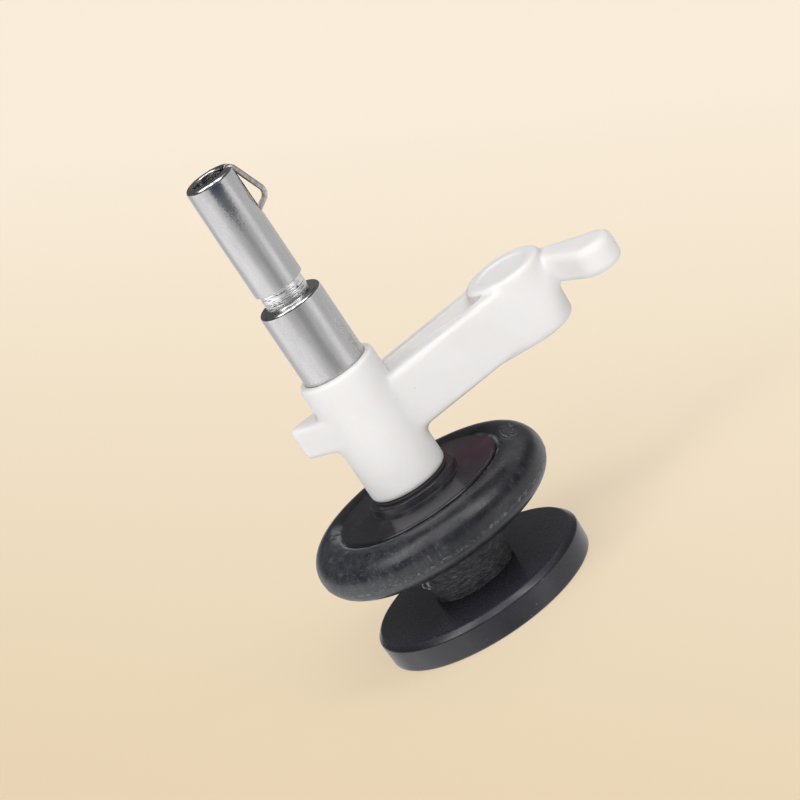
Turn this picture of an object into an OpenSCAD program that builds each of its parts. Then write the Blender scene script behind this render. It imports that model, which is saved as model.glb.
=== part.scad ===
// Bobbin winder unit of a sewing machine: a plated spindle that carries the bobbin turns in a
// plastic lever arm, driven by a rubber friction tyre below the arm.
//
// +Z runs up the spindle and +X from the spindle to the arm's pivot. The origin lies on the
// spindle's axis, on the underside of the bottom disc. All sizes are in millimetres.

/* [Spindle] */
// Radius of the wall that the bobbin's bore sits on
seat_r = 3.0; // [2.8:0.05:3.2]
// Length of that wall, from the neck to the foot of the slot
seat_l = 6.9; // [5:0.1:9]
// Length of the slotted tip above the seat
tip_l = 7.4; // [6.8:0.1:9]
// Radius of the tip at its very top, a little under the seat for an easy start
tip_top_r = 2.95; // [2.6:0.05:3.0]
// Radius of the neck turned between the shoulder and the seat
neck_r = 2.65; // [2.4:0.05:2.9]
// Length of the neck
neck_l = 2.05; // [1:0.05:4]
// Radius of the shoulder that the bobbin stands on
shoulder_r = 3.86; // [3.4:0.02:4.2]
// Length of the shoulder
shoulder_l = 11.65; // [6:0.05:20]
// Radius of the journal that turns in the arm
journal_r = 3.0; // [2.7:0.05:3.2]
// Radius of the shank that the hub, the sleeve and the disc are pressed on
shank_r = 2.5; // [2:0.05:2.6]
// Distance of the shank's driving flat from the axis
flat_d = 2.0; // [1.6:0.05:2.4]
// Chamfer on the polished rims
rim_chamfer = 0.12; // [0.08:0.02:0.4]
// Radius of the bore that the bobbin spring sits in
tip_bore_r = 1.95; // [1.85:0.05:2.3]
// Depth of that bore below the top
tip_bore_l = 13.5; // [12.9:0.1:13.9]
// Width of the slot that the spring comes out of
slot_w = 0.9; // [0.8:0.05:1.2]
// Direction of the slot, in degrees from the arm's own line
slot_dir = -16; // [-60:1:60]

/* [Bobbin spring] */
// Radius of the spring wire
wire_r = 0.325; // [0.2:0.025:0.35]
// Radius of the wire's bends, along the middle of the wire
wire_bend_r = 0.75; // [0.6:0.05:1]
// How far the spring's elbow stands from the spindle's axis
elbow_reach = 4.6; // [4.2:0.05:5.2]
// Depth of the elbow below the top of the spindle
elbow_drop = 5.0; // [4.6:0.1:5.6]
// Depth of the cross hole that anchors the spring
anchor_drop = 12.5; // [11.8:0.1:12.6]
// How far the spring's straight leg stands from the spindle's axis, inside the bore
leg_x = 0.95; // [0.8:0.05:1.1]
// Width of the hook that catches the bore's mouth
hook_w = 0.75; // [0.7:0.05:0.9]
// Length of the hook's free end
hook_l = 1.3; // [1:0.1:2]
// Fall of the wire's lower leg for each mm inwards
reentry_slope = 0.63; // [0.5:0.01:0.8]

/* [Arm, spindle boss] */
// Radius of the boss that the spindle turns in
boss_r = 4.73; // [4.5:0.01:6]
// Length of the boss
boss_l = 15.65; // [14:0.05:22]
// Rounding of the boss's top rim
boss_top_round = 0.4; // [0.2:0.05:0.5]
// Rounding of the boss's bottom rim
boss_foot_round = 0.8; // [0.2:0.05:1.2]
// Depth of the counterbore that hides the shoulder's foot and the upper washer
counterbore_l = 2.6; // [1.5:0.1:4]

/* [Arm, beam and pivot] */
// Distance from the spindle to the pivot
pivot_x = 22.5; // [19:0.1:30]
// Radius of the pivot boss at its top
pivot_boss_r = 4.8; // [4.2:0.05:6]
// Radius of the pivot boss at its foot, less by the mould's draft
pivot_foot_r = 4.4; // [4:0.05:6]
// Length of the pivot boss
pivot_boss_l = 8.65; // [8.2:0.05:12]
// Height of the pivot boss's foot above the foot of the spindle boss
pivot_boss_rise = 3.8; // [2:0.1:5]
// Radius of the blind pivot bore, which takes the machine's post
pivot_bore_r = 2.5; // [2:0.05:3]
// Length of the pivot bore's wall
pivot_bore_l = 7.2; // [5:0.1:7.4]
// Radius of the shallow recess on top of the pivot boss
gate_recess_r = 3.15; // [2:0.05:3.6]
// Depth of that recess
gate_recess_l = 0.4; // [0.2:0.05:0.6]
// Width of the beam at the spindle
beam_near_w = 7.3; // [6:0.1:8.4]
// Width of the beam at the pivot
beam_far_w = 8.1; // [6:0.1:8.6]
// Height of the beam
beam_h = 7.25; // [6:0.05:8]
// Height of the beam's underside above the foot of the spindle boss
beam_rise = 4.65; // [4:0.05:6]
// Rounding of the beam's long edges
beam_round = 0.6; // [0.3:0.05:1]
// Width of the channel along the top of the beam
channel_w = 4.2; // [3:0.1:5.8]
// Depth of the channel at the spindle
channel_near_l = 0.2; // [0.1:0.05:1]
// Depth of the channel at the pivot
channel_far_l = 1.7; // [0.5:0.05:2.5]

/* [Arm, finger and lug] */
// Distance from the pivot to the middle of the finger's round end
finger_reach = 11.35; // [10:0.05:16]
// Direction of the finger's round end from the pivot, in degrees
finger_dir = -51.7; // [-70:0.1:-40]
// Radius of the finger's round end
finger_end_r = 2.75; // [2.2:0.05:3.4]
// Radius of the finger where it starts inside the pivot boss
finger_root_r = 1.0; // [0.8:0.05:2]
// Direction that the finger's outer edge leaves the pivot boss at, in degrees
finger_edge_dir = 28; // [10:0.5:50]
// Height of the finger
finger_h = 3.7; // [2.5:0.05:4.5]
// Depth of the finger's top face below the top of the pivot boss
finger_drop = 0.85; // [0.8:0.05:3]
// Distance from the spindle to the middle of the lug's rounded tip
lug_reach = 7.75; // [6.5:0.05:9]
// Direction of the lug's tip from the spindle, in degrees
lug_dir = 145; // [130:1:160]
// Radius of the lug's tip
lug_tip_r = 0.8; // [0.7:0.05:1.2]
// Height of the lug
lug_h = 4.05; // [3:0.05:5]
// Height of the lug's underside above the foot of the spindle boss
lug_rise = 7.55; // [5:0.05:9]
// Rounding of the finger's edges
finger_round = 0.8; // [0.3:0.05:1]
// Rounding of the lug's edges
lug_round = 0.5; // [0.3:0.05:0.65]

/* [Drive] */
// Radius of the circle through the middle of the tyre's section
tyre_mid_r = 11.75; // [10.5:0.05:13]
// Radius of the tyre's round section
tyre_section_r = 2.9; // [2.4:0.05:3.2]
// How far the hub's flanges reach past the tyre's inner side
tyre_grip = 1.25; // [0.8:0.05:1.5]
// Thickness of the hub over its flanges
hub_l = 5.85; // [5.6:0.05:6.6]
// Radius of the collar on top of the hub
collar_r = 5.4; // [5:0.05:7]
// Height of the collar
collar_l = 1.15; // [0.5:0.05:2]
// Radius of the spacer sleeve below the hub
sleeve_r = 5.1; // [4:0.05:7]
// Length of the sleeve
sleeve_l = 6.3; // [3:0.05:10]
// Radius of the bottom disc
disc_r = 13.06; // [10:0.02:16]
// Thickness of the disc
disc_l = 3.6; // [3:0.05:6]
// Chamfer of the disc's top edge
disc_chamfer = 0.7; // [0.1:0.05:0.9]

/* [Washers and clip] */
// Thickness of the washer between the arm and the hub
lower_washer_l = 0.25; // [0.2:0.05:0.6]
// Thickness of the washer between the shoulder and the arm
upper_washer_l = 0.3; // [0.2:0.05:0.6]
// Outer radius of the washer between the arm and the hub
lower_washer_r = 4.5; // [4:0.05:4.6]
// Thickness of the washer under the disc
disc_washer_l = 0.4; // [0.3:0.05:0.6]
// Outer radius of the washer under the disc
disc_washer_r = 4.8; // [4:0.05:4.9]
// Thickness of the retaining clip
clip_l = 0.5; // [0.4:0.05:0.6]
// Outer radius of the retaining clip
clip_r = 4.3; // [3.8:0.05:4.7]
// Width of the clip's band
clip_band = 1.1; // [0.8:0.05:1.3]
// Depth of the clip's groove in the shank
clip_groove_l = 0.5; // [0.3:0.05:0.6]
// Radius of the recess under the disc that hides the washer and the clip
clip_recess_r = 5.2; // [5:0.05:6]
// Depth of that recess
clip_recess_l = 1.7; // [1.6:0.05:1.9]

/* [Fits] */
// Radial clearance of the journal in the arm and of the spring's foot in its cross hole
running_gap = 0.05; // [0.02:0.01:0.1]
// Axial play of the spindle in the arm, at each washer
end_play = 0.05; // [0.03:0.01:0.2]
// Radial gap of what is pressed on or seated for good
seated_gap = 0.02; // [0.01:0.01:0.04]
// Radial gap round the shoulder's foot and the washers
free_gap = 0.12; // [0.08:0.01:0.2]

/* [Hidden] */

turned_fn = 96;
hull_fn = 32;
edge_fn = 24;
wire_fn = 32;
over = 1;                                  // how far a cutter runs past the face that it cuts

flange_r = tyre_mid_r - tyre_section_r + tyre_grip;

// The stack on the spindle's axis, from the floor up
hub_z = disc_l + sleeve_l;
tyre_z = hub_z + hub_l / 2;
collar_z = hub_z + hub_l;
hub_top_z = collar_z + collar_l;
boss_z = hub_top_z + lower_washer_l + end_play;
boss_top_z = boss_z + boss_l;
counterbore_z = boss_top_z - counterbore_l;
shoulder_z = counterbore_z + upper_washer_l + end_play;
neck_z = shoulder_z + shoulder_l;
seat_z = neck_z + neck_l;
slot_z = seat_z + seat_l;
top_z = slot_z + tip_l;

// Under the disc
disc_washer_z = clip_recess_l - disc_washer_l;
clip_z = disc_washer_z - clip_l;
clip_groove_z = clip_z - end_play;
clip_inner_r = shank_r - clip_groove_l;
shank_z = clip_groove_z / 3;               // the shank's end, clear of the floor
shank_chamfer = 0.25;

// The arm
pivot_boss_z = boss_z + pivot_boss_rise;
pivot_boss_top_z = pivot_boss_z + pivot_boss_l;
beam_z = boss_z + beam_rise;
beam_top_z = beam_z + beam_h;
finger_z = pivot_boss_top_z - finger_drop - finger_h;
lug_z = boss_z + lug_rise;
bore_mouth = 0.3;                          // chamfer at the mouth of each of the arm's bores
pivot_top_round = 0.4;
pivot_foot_round = 0.8;

// The bobbin spring, in its own plane: x out from the axis, y up, every corner to be rounded
anchor_z = top_z - anchor_drop;
hook_inset = 0.1;                          // how far the hook stays inside the tip's rim
hook_x = tip_top_r - hook_inset;
hook_y = top_z - wire_r - hook_inset;
spring_points = [
    [hook_x - hook_w, hook_y - hook_l],
    [hook_x - hook_w, hook_y],
    [hook_x, hook_y],
    [elbow_reach, top_z - elbow_drop],
    [leg_x, top_z - elbow_drop - reentry_slope * (elbow_reach - leg_x)],
    [leg_x, anchor_z]
];
foot_inset = 0.2;                          // how far the foot stops inside the spindle's wall
foot_end = sqrt(pow(seat_r, 2) - pow(leg_x, 2)) - foot_inset;

function unit(v) = v / norm(v);
function turn_angle(a, b, c) = acos(unit(b - a) * unit(c - b));
// A corner with short legs takes the tighter bend that fits
function bend_radius(a, b, c) =
    min(wire_bend_r, 0.48 * min(norm(b - a), norm(c - b)) / tan(turn_angle(a, b, c) / 2));
// The points of the bend that rounds the corner b
function bend_points(a, b, c) =
    let (u = unit(b - a), w = unit(c - b), turn = turn_angle(a, b, c), r = bend_radius(a, b, c),
         side = sign(u[0] * w[1] - u[1] * w[0]), start = b - r * tan(turn / 2) * u,
         out = -side * [-u[1], u[0]], centre = start - r * out, steps = ceil(turn / 12))
    [for (k = [0 : steps])
        let (g = side * turn * k / steps)
            centre + r * [out[0] * cos(g) - out[1] * sin(g), out[0] * sin(g) + out[1] * cos(g)]];
function rounded_path(points) =
    let (last = len(points) - 1)
    [points[0],
     for (i = [1 : last - 1]) each bend_points(points[i - 1], points[i], points[i + 1]),
     points[last]];

// ---- Shared shapes ----

// A boss with rounded rims and a drafted wall, standing on z = 0
module boss_body(top_r, foot_r, h, top_edge, foot_edge) {
    rotate_extrude($fn = turned_fn) {
        polygon([[0, 0], [foot_r - foot_edge, 0], [foot_r, foot_edge], [top_r, h - top_edge],
                 [top_r - top_edge, h], [0, h]]);
        translate([top_r - top_edge, h - top_edge]) circle(top_edge, $fn = hull_fn);
        translate([foot_r - foot_edge, foot_edge]) circle(foot_edge, $fn = hull_fn);
    }
}

// A turned piece with chamfered rims, standing on z = 0
module chamfered(r, h, top, foot) {
    cylinder(r1 = r - foot, r2 = r, h = foot, $fn = turned_fn);
    translate([0, 0, foot]) cylinder(r = r, h = h - top - foot, $fn = turned_fn);
    translate([0, 0, h - top]) cylinder(r1 = r, r2 = r - top, h = top, $fn = turned_fn);
}

// A flat pebble with rounded edges, the end of a hull
module pebble(r, h, edge) {
    rotate_extrude($fn = hull_fn) intersection() {
        square([r, h]);
        union() {
            square([r - edge, h]);
            translate([0, edge]) square([r, h - 2 * edge]);
            for (y = [edge, h - edge]) translate([r - edge, y]) circle(edge, $fn = edge_fn);
        }
    }
}

// A washer standing on z = 0
module washer(inner, outer, h) {
    difference() {
        cylinder(r = outer, h = h, $fn = turned_fn);
        translate([0, 0, -over]) cylinder(r = inner, h = h + 2 * over, $fn = turned_fn);
    }
}

// The shank's section with its driving flat, grown by a gap
module flatted(gap, h) {
    intersection() {
        cylinder(r = shank_r + gap, h = h, $fn = turned_fn);
        translate([-2 * shank_r, -2 * shank_r, 0]) cube([2 * shank_r + flat_d + gap, 4 * shank_r, h]);
    }
}

// A wire along the points of a plane, every corner rounded
module bent_wire(points) {
    path = rounded_path(points);
    last = len(path) - 1;
    sides = 12;
    rings = [for (i = [0 : last])
        let (t = unit(path[min(i + 1, last)] - path[max(i - 1, 0)]))
            [for (k = [0 : sides - 1])
                let (out = wire_r * cos(360 * k / sides))
                    [path[i][0] - out * t[1], path[i][1] + out * t[0], wire_r * sin(360 * k / sides)]]];
    walls = [for (i = [0 : last - 1], k = [0 : sides - 1])
        let (a = i * sides, b = a + sides, n = (k + 1) % sides)
            each [[a + k, b + n, a + n], [a + k, b + k, b + n]]];
    caps = [[for (k = [0 : sides - 1]) k], [for (k = [sides - 1 : -1 : 0]) last * sides + k]];
    polyhedron(points = [for (ring = rings) each ring], faces = concat(walls, caps));
}

// ---- The arm ----

module beam_body() {
    half = [beam_near_w / 2 - beam_round, beam_far_w / 2 - beam_round];
    difference() {
        hull()
            for (end = [0, 1], side = [-1, 1], z = [beam_z + beam_round, beam_top_z - beam_round])
                translate([end * pivot_x, side * half[end], z]) sphere(beam_round, $fn = edge_fn);
        channel();
    }
}

// The channel along the beam, deeper towards the pivot
module channel() {
    translate([0, channel_w / 2, 0]) rotate([90, 0, 0]) linear_extrude(channel_w)
        polygon([[0, beam_top_z - channel_near_l], [pivot_x, beam_top_z - channel_far_l],
                 [pivot_x, beam_top_z + over], [0, beam_top_z + over]]);
}

module finger_body() {
    root = (pivot_boss_r - finger_root_r) * [cos(finger_edge_dir), sin(finger_edge_dir)];
    tip = finger_reach * [cos(finger_dir), sin(finger_dir)];
    translate([pivot_x, 0, finger_z]) hull() {
        translate([root[0], root[1], 0]) pebble(finger_root_r, finger_h, finger_round);
        translate([tip[0], tip[1], 0]) pebble(finger_end_r, finger_h, finger_round);
    }
}

module lug_body() {
    spread = 52;                           // angle of each side's start from the lug's own line
    root_r = 0.95;
    start = boss_r - root_r;
    translate([0, 0, lug_z]) hull() {
        translate([lug_reach * cos(lug_dir), lug_reach * sin(lug_dir), 0])
            pebble(lug_tip_r, lug_h, lug_round);
        for (side = [-1, 1])
            translate([start * cos(lug_dir + side * spread), start * sin(lug_dir + side * spread), 0])
                pebble(root_r, lug_h, lug_round);
    }
}

module spindle_bore() {
    translate([0, 0, boss_z - over])
        cylinder(r = journal_r + running_gap, h = boss_l + 2 * over, $fn = turned_fn);
    translate([0, 0, counterbore_z])
        cylinder(r = shoulder_r + free_gap, h = counterbore_l + over, $fn = turned_fn);
}

module pivot_bore() {
    translate([pivot_x, 0, pivot_boss_z - over])
        cylinder(r = pivot_bore_r, h = pivot_bore_l + over, $fn = turned_fn);
    translate([pivot_x, 0, pivot_boss_z - over])
        cylinder(r1 = pivot_bore_r + bore_mouth + over, r2 = pivot_bore_r, h = bore_mouth + over,
                 $fn = turned_fn);
    translate([pivot_x, 0, pivot_boss_top_z - gate_recess_l])
        cylinder(r = gate_recess_r, h = gate_recess_l + over, $fn = turned_fn);
}

module lever_arm() {
    color([0.92, 0.91, 0.9]) difference() {
        union() {
            translate([0, 0, boss_z])
                boss_body(boss_r, boss_r, boss_l, boss_top_round, boss_foot_round);
            translate([pivot_x, 0, pivot_boss_z])
                boss_body(pivot_boss_r, pivot_foot_r, pivot_boss_l, pivot_top_round, pivot_foot_round);
            beam_body();
            finger_body();
            lug_body();
        }
        spindle_bore();
        pivot_bore();
    }
}

// ---- The spindle and its spring ----

module spindle_tip() {
    translate([0, 0, seat_z]) cylinder(r = seat_r, h = seat_l, $fn = turned_fn);
    translate([0, 0, slot_z])
        cylinder(r1 = seat_r, r2 = tip_top_r, h = tip_l - rim_chamfer, $fn = turned_fn);
    translate([0, 0, top_z - rim_chamfer])
        cylinder(r1 = tip_top_r, r2 = tip_top_r - rim_chamfer, h = rim_chamfer, $fn = turned_fn);
}

module spring_seat_cutters() {
    translate([0, 0, top_z - tip_bore_l])
        cylinder(r = tip_bore_r, h = tip_bore_l + over, $fn = turned_fn);
    rotate([0, 0, slot_dir]) {
        translate([0, -slot_w / 2, slot_z]) cube([seat_r + over, slot_w, tip_l + over]);
        translate([leg_x, 0, anchor_z]) rotate([-90, 0, 0])
            cylinder(r = wire_r + running_gap, h = seat_r + over, $fn = wire_fn);
    }
}

module clip_groove() {
    translate([0, 0, clip_groove_z]) difference() {
        cylinder(r = shank_r + over, h = clip_l + 2 * end_play, $fn = turned_fn);
        cylinder(r = clip_inner_r, h = clip_l + 2 * end_play, $fn = turned_fn);
    }
}

module spindle() {
    color([0.73, 0.73, 0.74]) difference() {
        union() {
            translate([0, 0, shank_z]) intersection() {
                flatted(0, hub_top_z - shank_z);
                chamfered(shank_r, hub_top_z - shank_z + over, shank_chamfer, shank_chamfer);
            }
            translate([0, 0, hub_top_z])
                cylinder(r = journal_r, h = shoulder_z - hub_top_z, $fn = turned_fn);
            translate([0, 0, shoulder_z]) chamfered(shoulder_r, shoulder_l, rim_chamfer, rim_chamfer);
            translate([0, 0, neck_z]) cylinder(r = neck_r, h = neck_l, $fn = turned_fn);
            spindle_tip();
        }
        spring_seat_cutters();
        clip_groove();
    }
}

// The foot turns out of the spring's plane, into the cross hole
module spring_foot() {
    translate([leg_x, -wire_r, anchor_z]) rotate([-90, 0, 0])
        cylinder(r = wire_r, h = foot_end + wire_r, $fn = wire_fn);
}

module bobbin_spring() {
    color([0.62, 0.61, 0.6]) rotate([0, 0, slot_dir]) {
        rotate([90, 0, 0]) bent_wire(spring_points);
        spring_foot();
    }
}

// ---- Washers and clip ----

module upper_thrust_washer() {
    color([0.8, 0.8, 0.78]) translate([0, 0, counterbore_z])
        washer(journal_r + free_gap, shoulder_r, upper_washer_l);
}

module lower_thrust_washer() {
    color([0.8, 0.8, 0.78]) translate([0, 0, hub_top_z])
        washer(journal_r + seated_gap, lower_washer_r, lower_washer_l);
}

module disc_washer() {
    color([0.75, 0.75, 0.76]) translate([0, 0, disc_washer_z])
        washer(shank_r + seated_gap, disc_washer_r, disc_washer_l);
}

// An open ring with three prongs that grip the groove
module retaining_clip() {
    mouth_w = 1.8 * clip_inner_r;
    prong_w = 1.2;
    prong_turn = 110;
    band_r = clip_r - clip_band;
    color([0.35, 0.35, 0.37]) translate([0, 0, clip_z]) difference() {
        union() {
            washer(band_r, clip_r, clip_l);
            for (dir = [0, prong_turn, -prong_turn]) rotate([0, 0, 90 + dir])
                translate([clip_inner_r / 2, -prong_w / 2, 0])
                    cube([band_r - clip_inner_r / 2 + clip_band / 2, prong_w, clip_l]);
        }
        translate([0, 0, -over])
            cylinder(r = clip_inner_r + seated_gap, h = clip_l + 2 * over, $fn = turned_fn);
        translate([-mouth_w / 2, -clip_r - over, -over])
            cube([mouth_w, clip_r + over - clip_inner_r / 2, clip_l + 2 * over]);
    }
}

// ---- Drive ----

module drive_hub() {
    flange_rim = 0.15;
    color([0.19, 0.19, 0.21]) difference() {
        union() {
            translate([0, 0, hub_z]) chamfered(flange_r, hub_l, flange_rim, flange_rim);
            translate([0, 0, collar_z])
                cylinder(r = collar_r, h = collar_l - flange_rim, $fn = turned_fn);
            translate([0, 0, hub_top_z - flange_rim])
                cylinder(r1 = collar_r, r2 = collar_r - flange_rim, h = flange_rim, $fn = turned_fn);
        }
        translate([0, 0, tyre_z]) rotate_extrude($fn = turned_fn)
            translate([tyre_mid_r, 0]) circle(tyre_section_r + seated_gap, $fn = turned_fn);
        translate([0, 0, hub_z - over]) flatted(seated_gap, hub_top_z - hub_z + 2 * over);
    }
}

module friction_tyre() {
    color([0.12, 0.12, 0.13]) translate([0, 0, tyre_z]) rotate_extrude($fn = turned_fn)
        translate([tyre_mid_r, 0]) circle(tyre_section_r, $fn = turned_fn);
}

module spacer_sleeve() {
    color([0.2, 0.2, 0.21]) translate([0, 0, disc_l])
        washer(shank_r + seated_gap, sleeve_r, sleeve_l);
}

module bottom_disc() {
    foot_chamfer = 0.3;
    color([0.2, 0.2, 0.22]) difference() {
        chamfered(disc_r, disc_l, disc_chamfer, foot_chamfer);
        translate([0, 0, -over]) flatted(seated_gap, disc_l + 2 * over);
        translate([0, 0, -over])
            cylinder(r = clip_recess_r, h = clip_recess_l + over, $fn = turned_fn);
    }
}

lever_arm();
spindle();
bobbin_spring();
upper_thrust_washer();
lower_thrust_washer();
drive_hub();
friction_tyre();
spacer_sleeve();
bottom_disc();
disc_washer();
retaining_clip();
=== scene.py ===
"""Looks of a bobbin winder unit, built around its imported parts.

Sizes in the classes are millimetres in the part's own frame: +Z runs up the spindle and
+X from the spindle to the arm's pivot. A finished piece is scaled to metres.
"""

import logging
import math
from dataclasses import dataclass
from enum import Enum
from typing import Any, Callable, Sequence

import bmesh
import bpy
from bmesh.types import BMEdge, BMesh, BMFace, BMVert
from mathutils import Matrix, Vector


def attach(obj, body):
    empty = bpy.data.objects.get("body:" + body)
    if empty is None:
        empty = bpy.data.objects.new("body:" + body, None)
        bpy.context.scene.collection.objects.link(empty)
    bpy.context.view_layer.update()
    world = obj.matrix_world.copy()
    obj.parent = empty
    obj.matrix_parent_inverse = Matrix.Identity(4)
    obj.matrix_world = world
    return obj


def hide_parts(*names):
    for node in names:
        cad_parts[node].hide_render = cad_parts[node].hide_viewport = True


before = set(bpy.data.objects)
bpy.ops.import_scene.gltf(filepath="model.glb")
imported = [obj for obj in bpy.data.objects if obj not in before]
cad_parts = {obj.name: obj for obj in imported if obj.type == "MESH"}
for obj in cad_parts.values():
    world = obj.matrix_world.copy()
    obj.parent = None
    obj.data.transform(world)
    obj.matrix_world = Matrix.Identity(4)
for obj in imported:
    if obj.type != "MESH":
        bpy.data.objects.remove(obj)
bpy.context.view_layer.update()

LOG = logging.getLogger("bobbin_winder")
MM = 0.001
WELD = 1e-4  # vertices nearer than this become one
OVER = 1.0  # how far a cutter passes the surface that it opens
BEND_STEP = 9.0  # degrees between the rings of a bent wire
BEND_SHARE = 0.48  # the most of its shorter leg that a bend takes up
NOISE_SPAN = (0.3, 0.7)  # where most of a noise's values lie

Colour = tuple[float, float, float]
Point = tuple[float, float, float]
Range = tuple[float, float]
Socket = bpy.types.NodeSocket
Value = Any  # a number, a colour, a vector or a node's output socket


class Body(Enum):
    """The rigid bodies that the pieces move with."""

    LEVER = "lever"
    ROTOR = "rotor"
    SPRING = "spring"


class Slot(Enum):
    """The record's material slots."""

    WHITE_PLASTIC = "white_plastic"
    PLATED_STEEL = "plated_steel"
    SPRING_WIRE = "spring_wire"
    WASHER_NYLON = "washer_nylon"
    BLACK_GLOSS = "black_gloss"
    BLACK_RUBBER = "black_rubber"
    ROUGH_BLACK = "rough_black"
    BLACK_SATIN = "black_satin"
    BRIGHT_STEEL = "bright_steel"
    DARK_STEEL = "dark_spring_steel"


# ---- Places and objects ----


def polar(r: float, degrees: float, x: float = 0.0) -> tuple[float, float]:
    """Returns the point at a distance and an angle from a point on the X axis."""
    return x + r * math.cos(math.radians(degrees)), r * math.sin(math.radians(degrees))


def from_axis(at: Vector, x: float = 0.0) -> float:
    """Returns how far a point is from the upright line at a place on the X axis."""
    return math.hypot(at.x - x, at.y)


def facing(at: Vector, way: Vector) -> Matrix:
    """Returns the placing that takes the origin to a point and turns Z to a direction."""
    return Matrix.Translation(at) @ way.to_track_quat("Z", "Y").to_matrix().to_4x4()


def mesh_of(bm: BMesh, name: str) -> bpy.types.Mesh:
    """Moves a bmesh into a mesh.

    Args:
        bm: the shape, which is freed.
        name: the mesh's name.

    Returns:
        The mesh.
    """
    mesh = bpy.data.meshes.new(name)
    bm.to_mesh(mesh)
    bm.free()
    return mesh


def placed(name: str, data: bpy.types.ID) -> bpy.types.Object:
    """Makes an object and puts it in the scene.

    Args:
        name: the object's name.
        data: its mesh, camera or light.

    Returns:
        The object.
    """
    obj = bpy.data.objects.new(name, data)
    bpy.context.scene.collection.objects.link(obj)
    return obj


def discard(obj: bpy.types.Object) -> None:
    """Removes an object together with its mesh.

    Args:
        obj: the object.
    """
    mesh = obj.data
    bpy.data.objects.remove(obj)
    bpy.data.meshes.remove(mesh)


def evaluated(obj: bpy.types.Object) -> BMesh:
    """Applies an object's modifiers.

    Args:
        obj: the object, which is removed.

    Returns:
        Its finished shape.
    """
    shaped = obj.evaluated_get(bpy.context.evaluated_depsgraph_get())
    bm = bmesh.new()
    bm.from_mesh(shaped.to_mesh())
    shaped.to_mesh_clear()
    discard(obj)
    return bm


# ---- Shaping ----


@dataclass(frozen=True)
class Corner:
    """A corner of a turned profile, with how far it is rounded."""

    r: float
    z: float
    rounding: float = 0.0
    segments: int = 4


def turned(corners: Sequence[Corner], closed: bool = False, steps: int = 192) -> BMesh:
    """Turns a profile round the Z axis, as a lathe would.

    Args:
        corners: the profile's corners, in order.
        closed: whether the last corner joins the first, as on a ring.
        steps: how many steps the full turn takes.

    Returns:
        A closed shape with its faces outward.
    """
    bm = bmesh.new()
    verts = [bm.verts.new((c.r, 0, c.z)) for c in corners]
    pairs = list(zip(verts, verts[1:]))
    if closed:
        pairs.append((verts[-1], verts[0]))
    for pair in pairs:
        bm.edges.new(pair)
    for corner, vert in zip(corners, verts):
        if corner.rounding > 0:
            bmesh.ops.bevel(bm, geom=[vert], offset=corner.rounding, offset_type="OFFSET",
                            affect="VERTICES", segments=corner.segments, profile=0.5, material=-1)
    spin_round(bm, steps)
    return bm


def spin_round(bm: BMesh, steps: int) -> None:
    """Spins everything in a bmesh once round the Z axis and closes it.

    Args:
        bm: the profile, which becomes the shape.
        steps: how many steps the turn takes.
    """
    bmesh.ops.spin(bm, geom=bm.verts[:] + bm.edges[:], cent=(0, 0, 0), axis=(0, 0, 1),
                   angle=math.tau, steps=steps, use_merge=True, use_duplicate=False)
    tidied(bm)


def tidied(bm: BMesh) -> BMesh:
    """Merges a closed shape's doubled vertices and turns its faces outward.

    Args:
        bm: the shape.

    Returns:
        The same shape.
    """
    bmesh.ops.remove_doubles(bm, verts=bm.verts[:], dist=WELD)
    bmesh.ops.recalc_face_normals(bm, faces=bm.faces[:])
    return bm


def block(low: Sequence[float], high: Sequence[float]) -> BMesh:
    """Makes a box.

    Args:
        low: its lowest corner.
        high: its highest corner.

    Returns:
        The box.
    """
    bm = bmesh.new()
    size = [h - l for l, h in zip(low, high)]
    middle = [(l + h) / 2 for l, h in zip(low, high)]
    bmesh.ops.create_cube(bm, size=1, matrix=Matrix.Translation(middle) @ Matrix.Diagonal((*size, 1)))
    return bm


def rod(start: Sequence[float], end: Sequence[float], r: float, steps: int = 48) -> BMesh:
    """Makes a round rod.

    Args:
        start: the middle of one end.
        end: the middle of the other end.
        r: its radius.
        steps: its number of sides.

    Returns:
        The rod.
    """
    bm = bmesh.new()
    a, b = Vector(start), Vector(end)
    bmesh.ops.create_cone(bm, cap_ends=True, segments=steps, radius1=r, radius2=r,
                          depth=(b - a).length, matrix=facing((a + b) / 2, b - a))
    return bm


def turn_about_z(bm: BMesh, degrees: float) -> BMesh:
    """Turns a shape about the Z axis.

    Args:
        bm: the shape.
        degrees: how far it turns.

    Returns:
        The same shape.
    """
    bmesh.ops.rotate(bm, verts=bm.verts[:], cent=(0, 0, 0),
                     matrix=Matrix.Rotation(math.radians(degrees), 3, "Z"))
    return bm


def moved(bm: BMesh, x: float, y: float = 0.0) -> BMesh:
    """Moves a shape sideways.

    Args:
        bm: the shape.
        x: how far it moves along X.
        y: how far it moves along Y.

    Returns:
        The same shape.
    """
    bmesh.ops.translate(bm, verts=bm.verts[:], vec=(x, y, 0))
    return bm


def smoothed(bm: BMesh, verts: Sequence[BMVert]) -> None:
    """Draws vertices halfway towards their neighbours."""
    bmesh.ops.smooth_vert(bm, verts=verts, factor=0.5, use_axis_x=True, use_axis_y=True, use_axis_z=True)


def drop_twins(bm: BMesh) -> None:
    """Removes pairs of faces that lie back to back, which a cut can leave.

    Args:
        bm: the shape, made of triangles.
    """
    seen: dict[frozenset[BMVert], BMFace] = {}
    twins: set[BMFace] = set()
    for face in bm.faces:
        first = seen.setdefault(frozenset(face.verts), face)
        if first is not face:
            twins |= {first, face}
    bmesh.ops.delete(bm, geom=list(twins), context="FACES")


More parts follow.
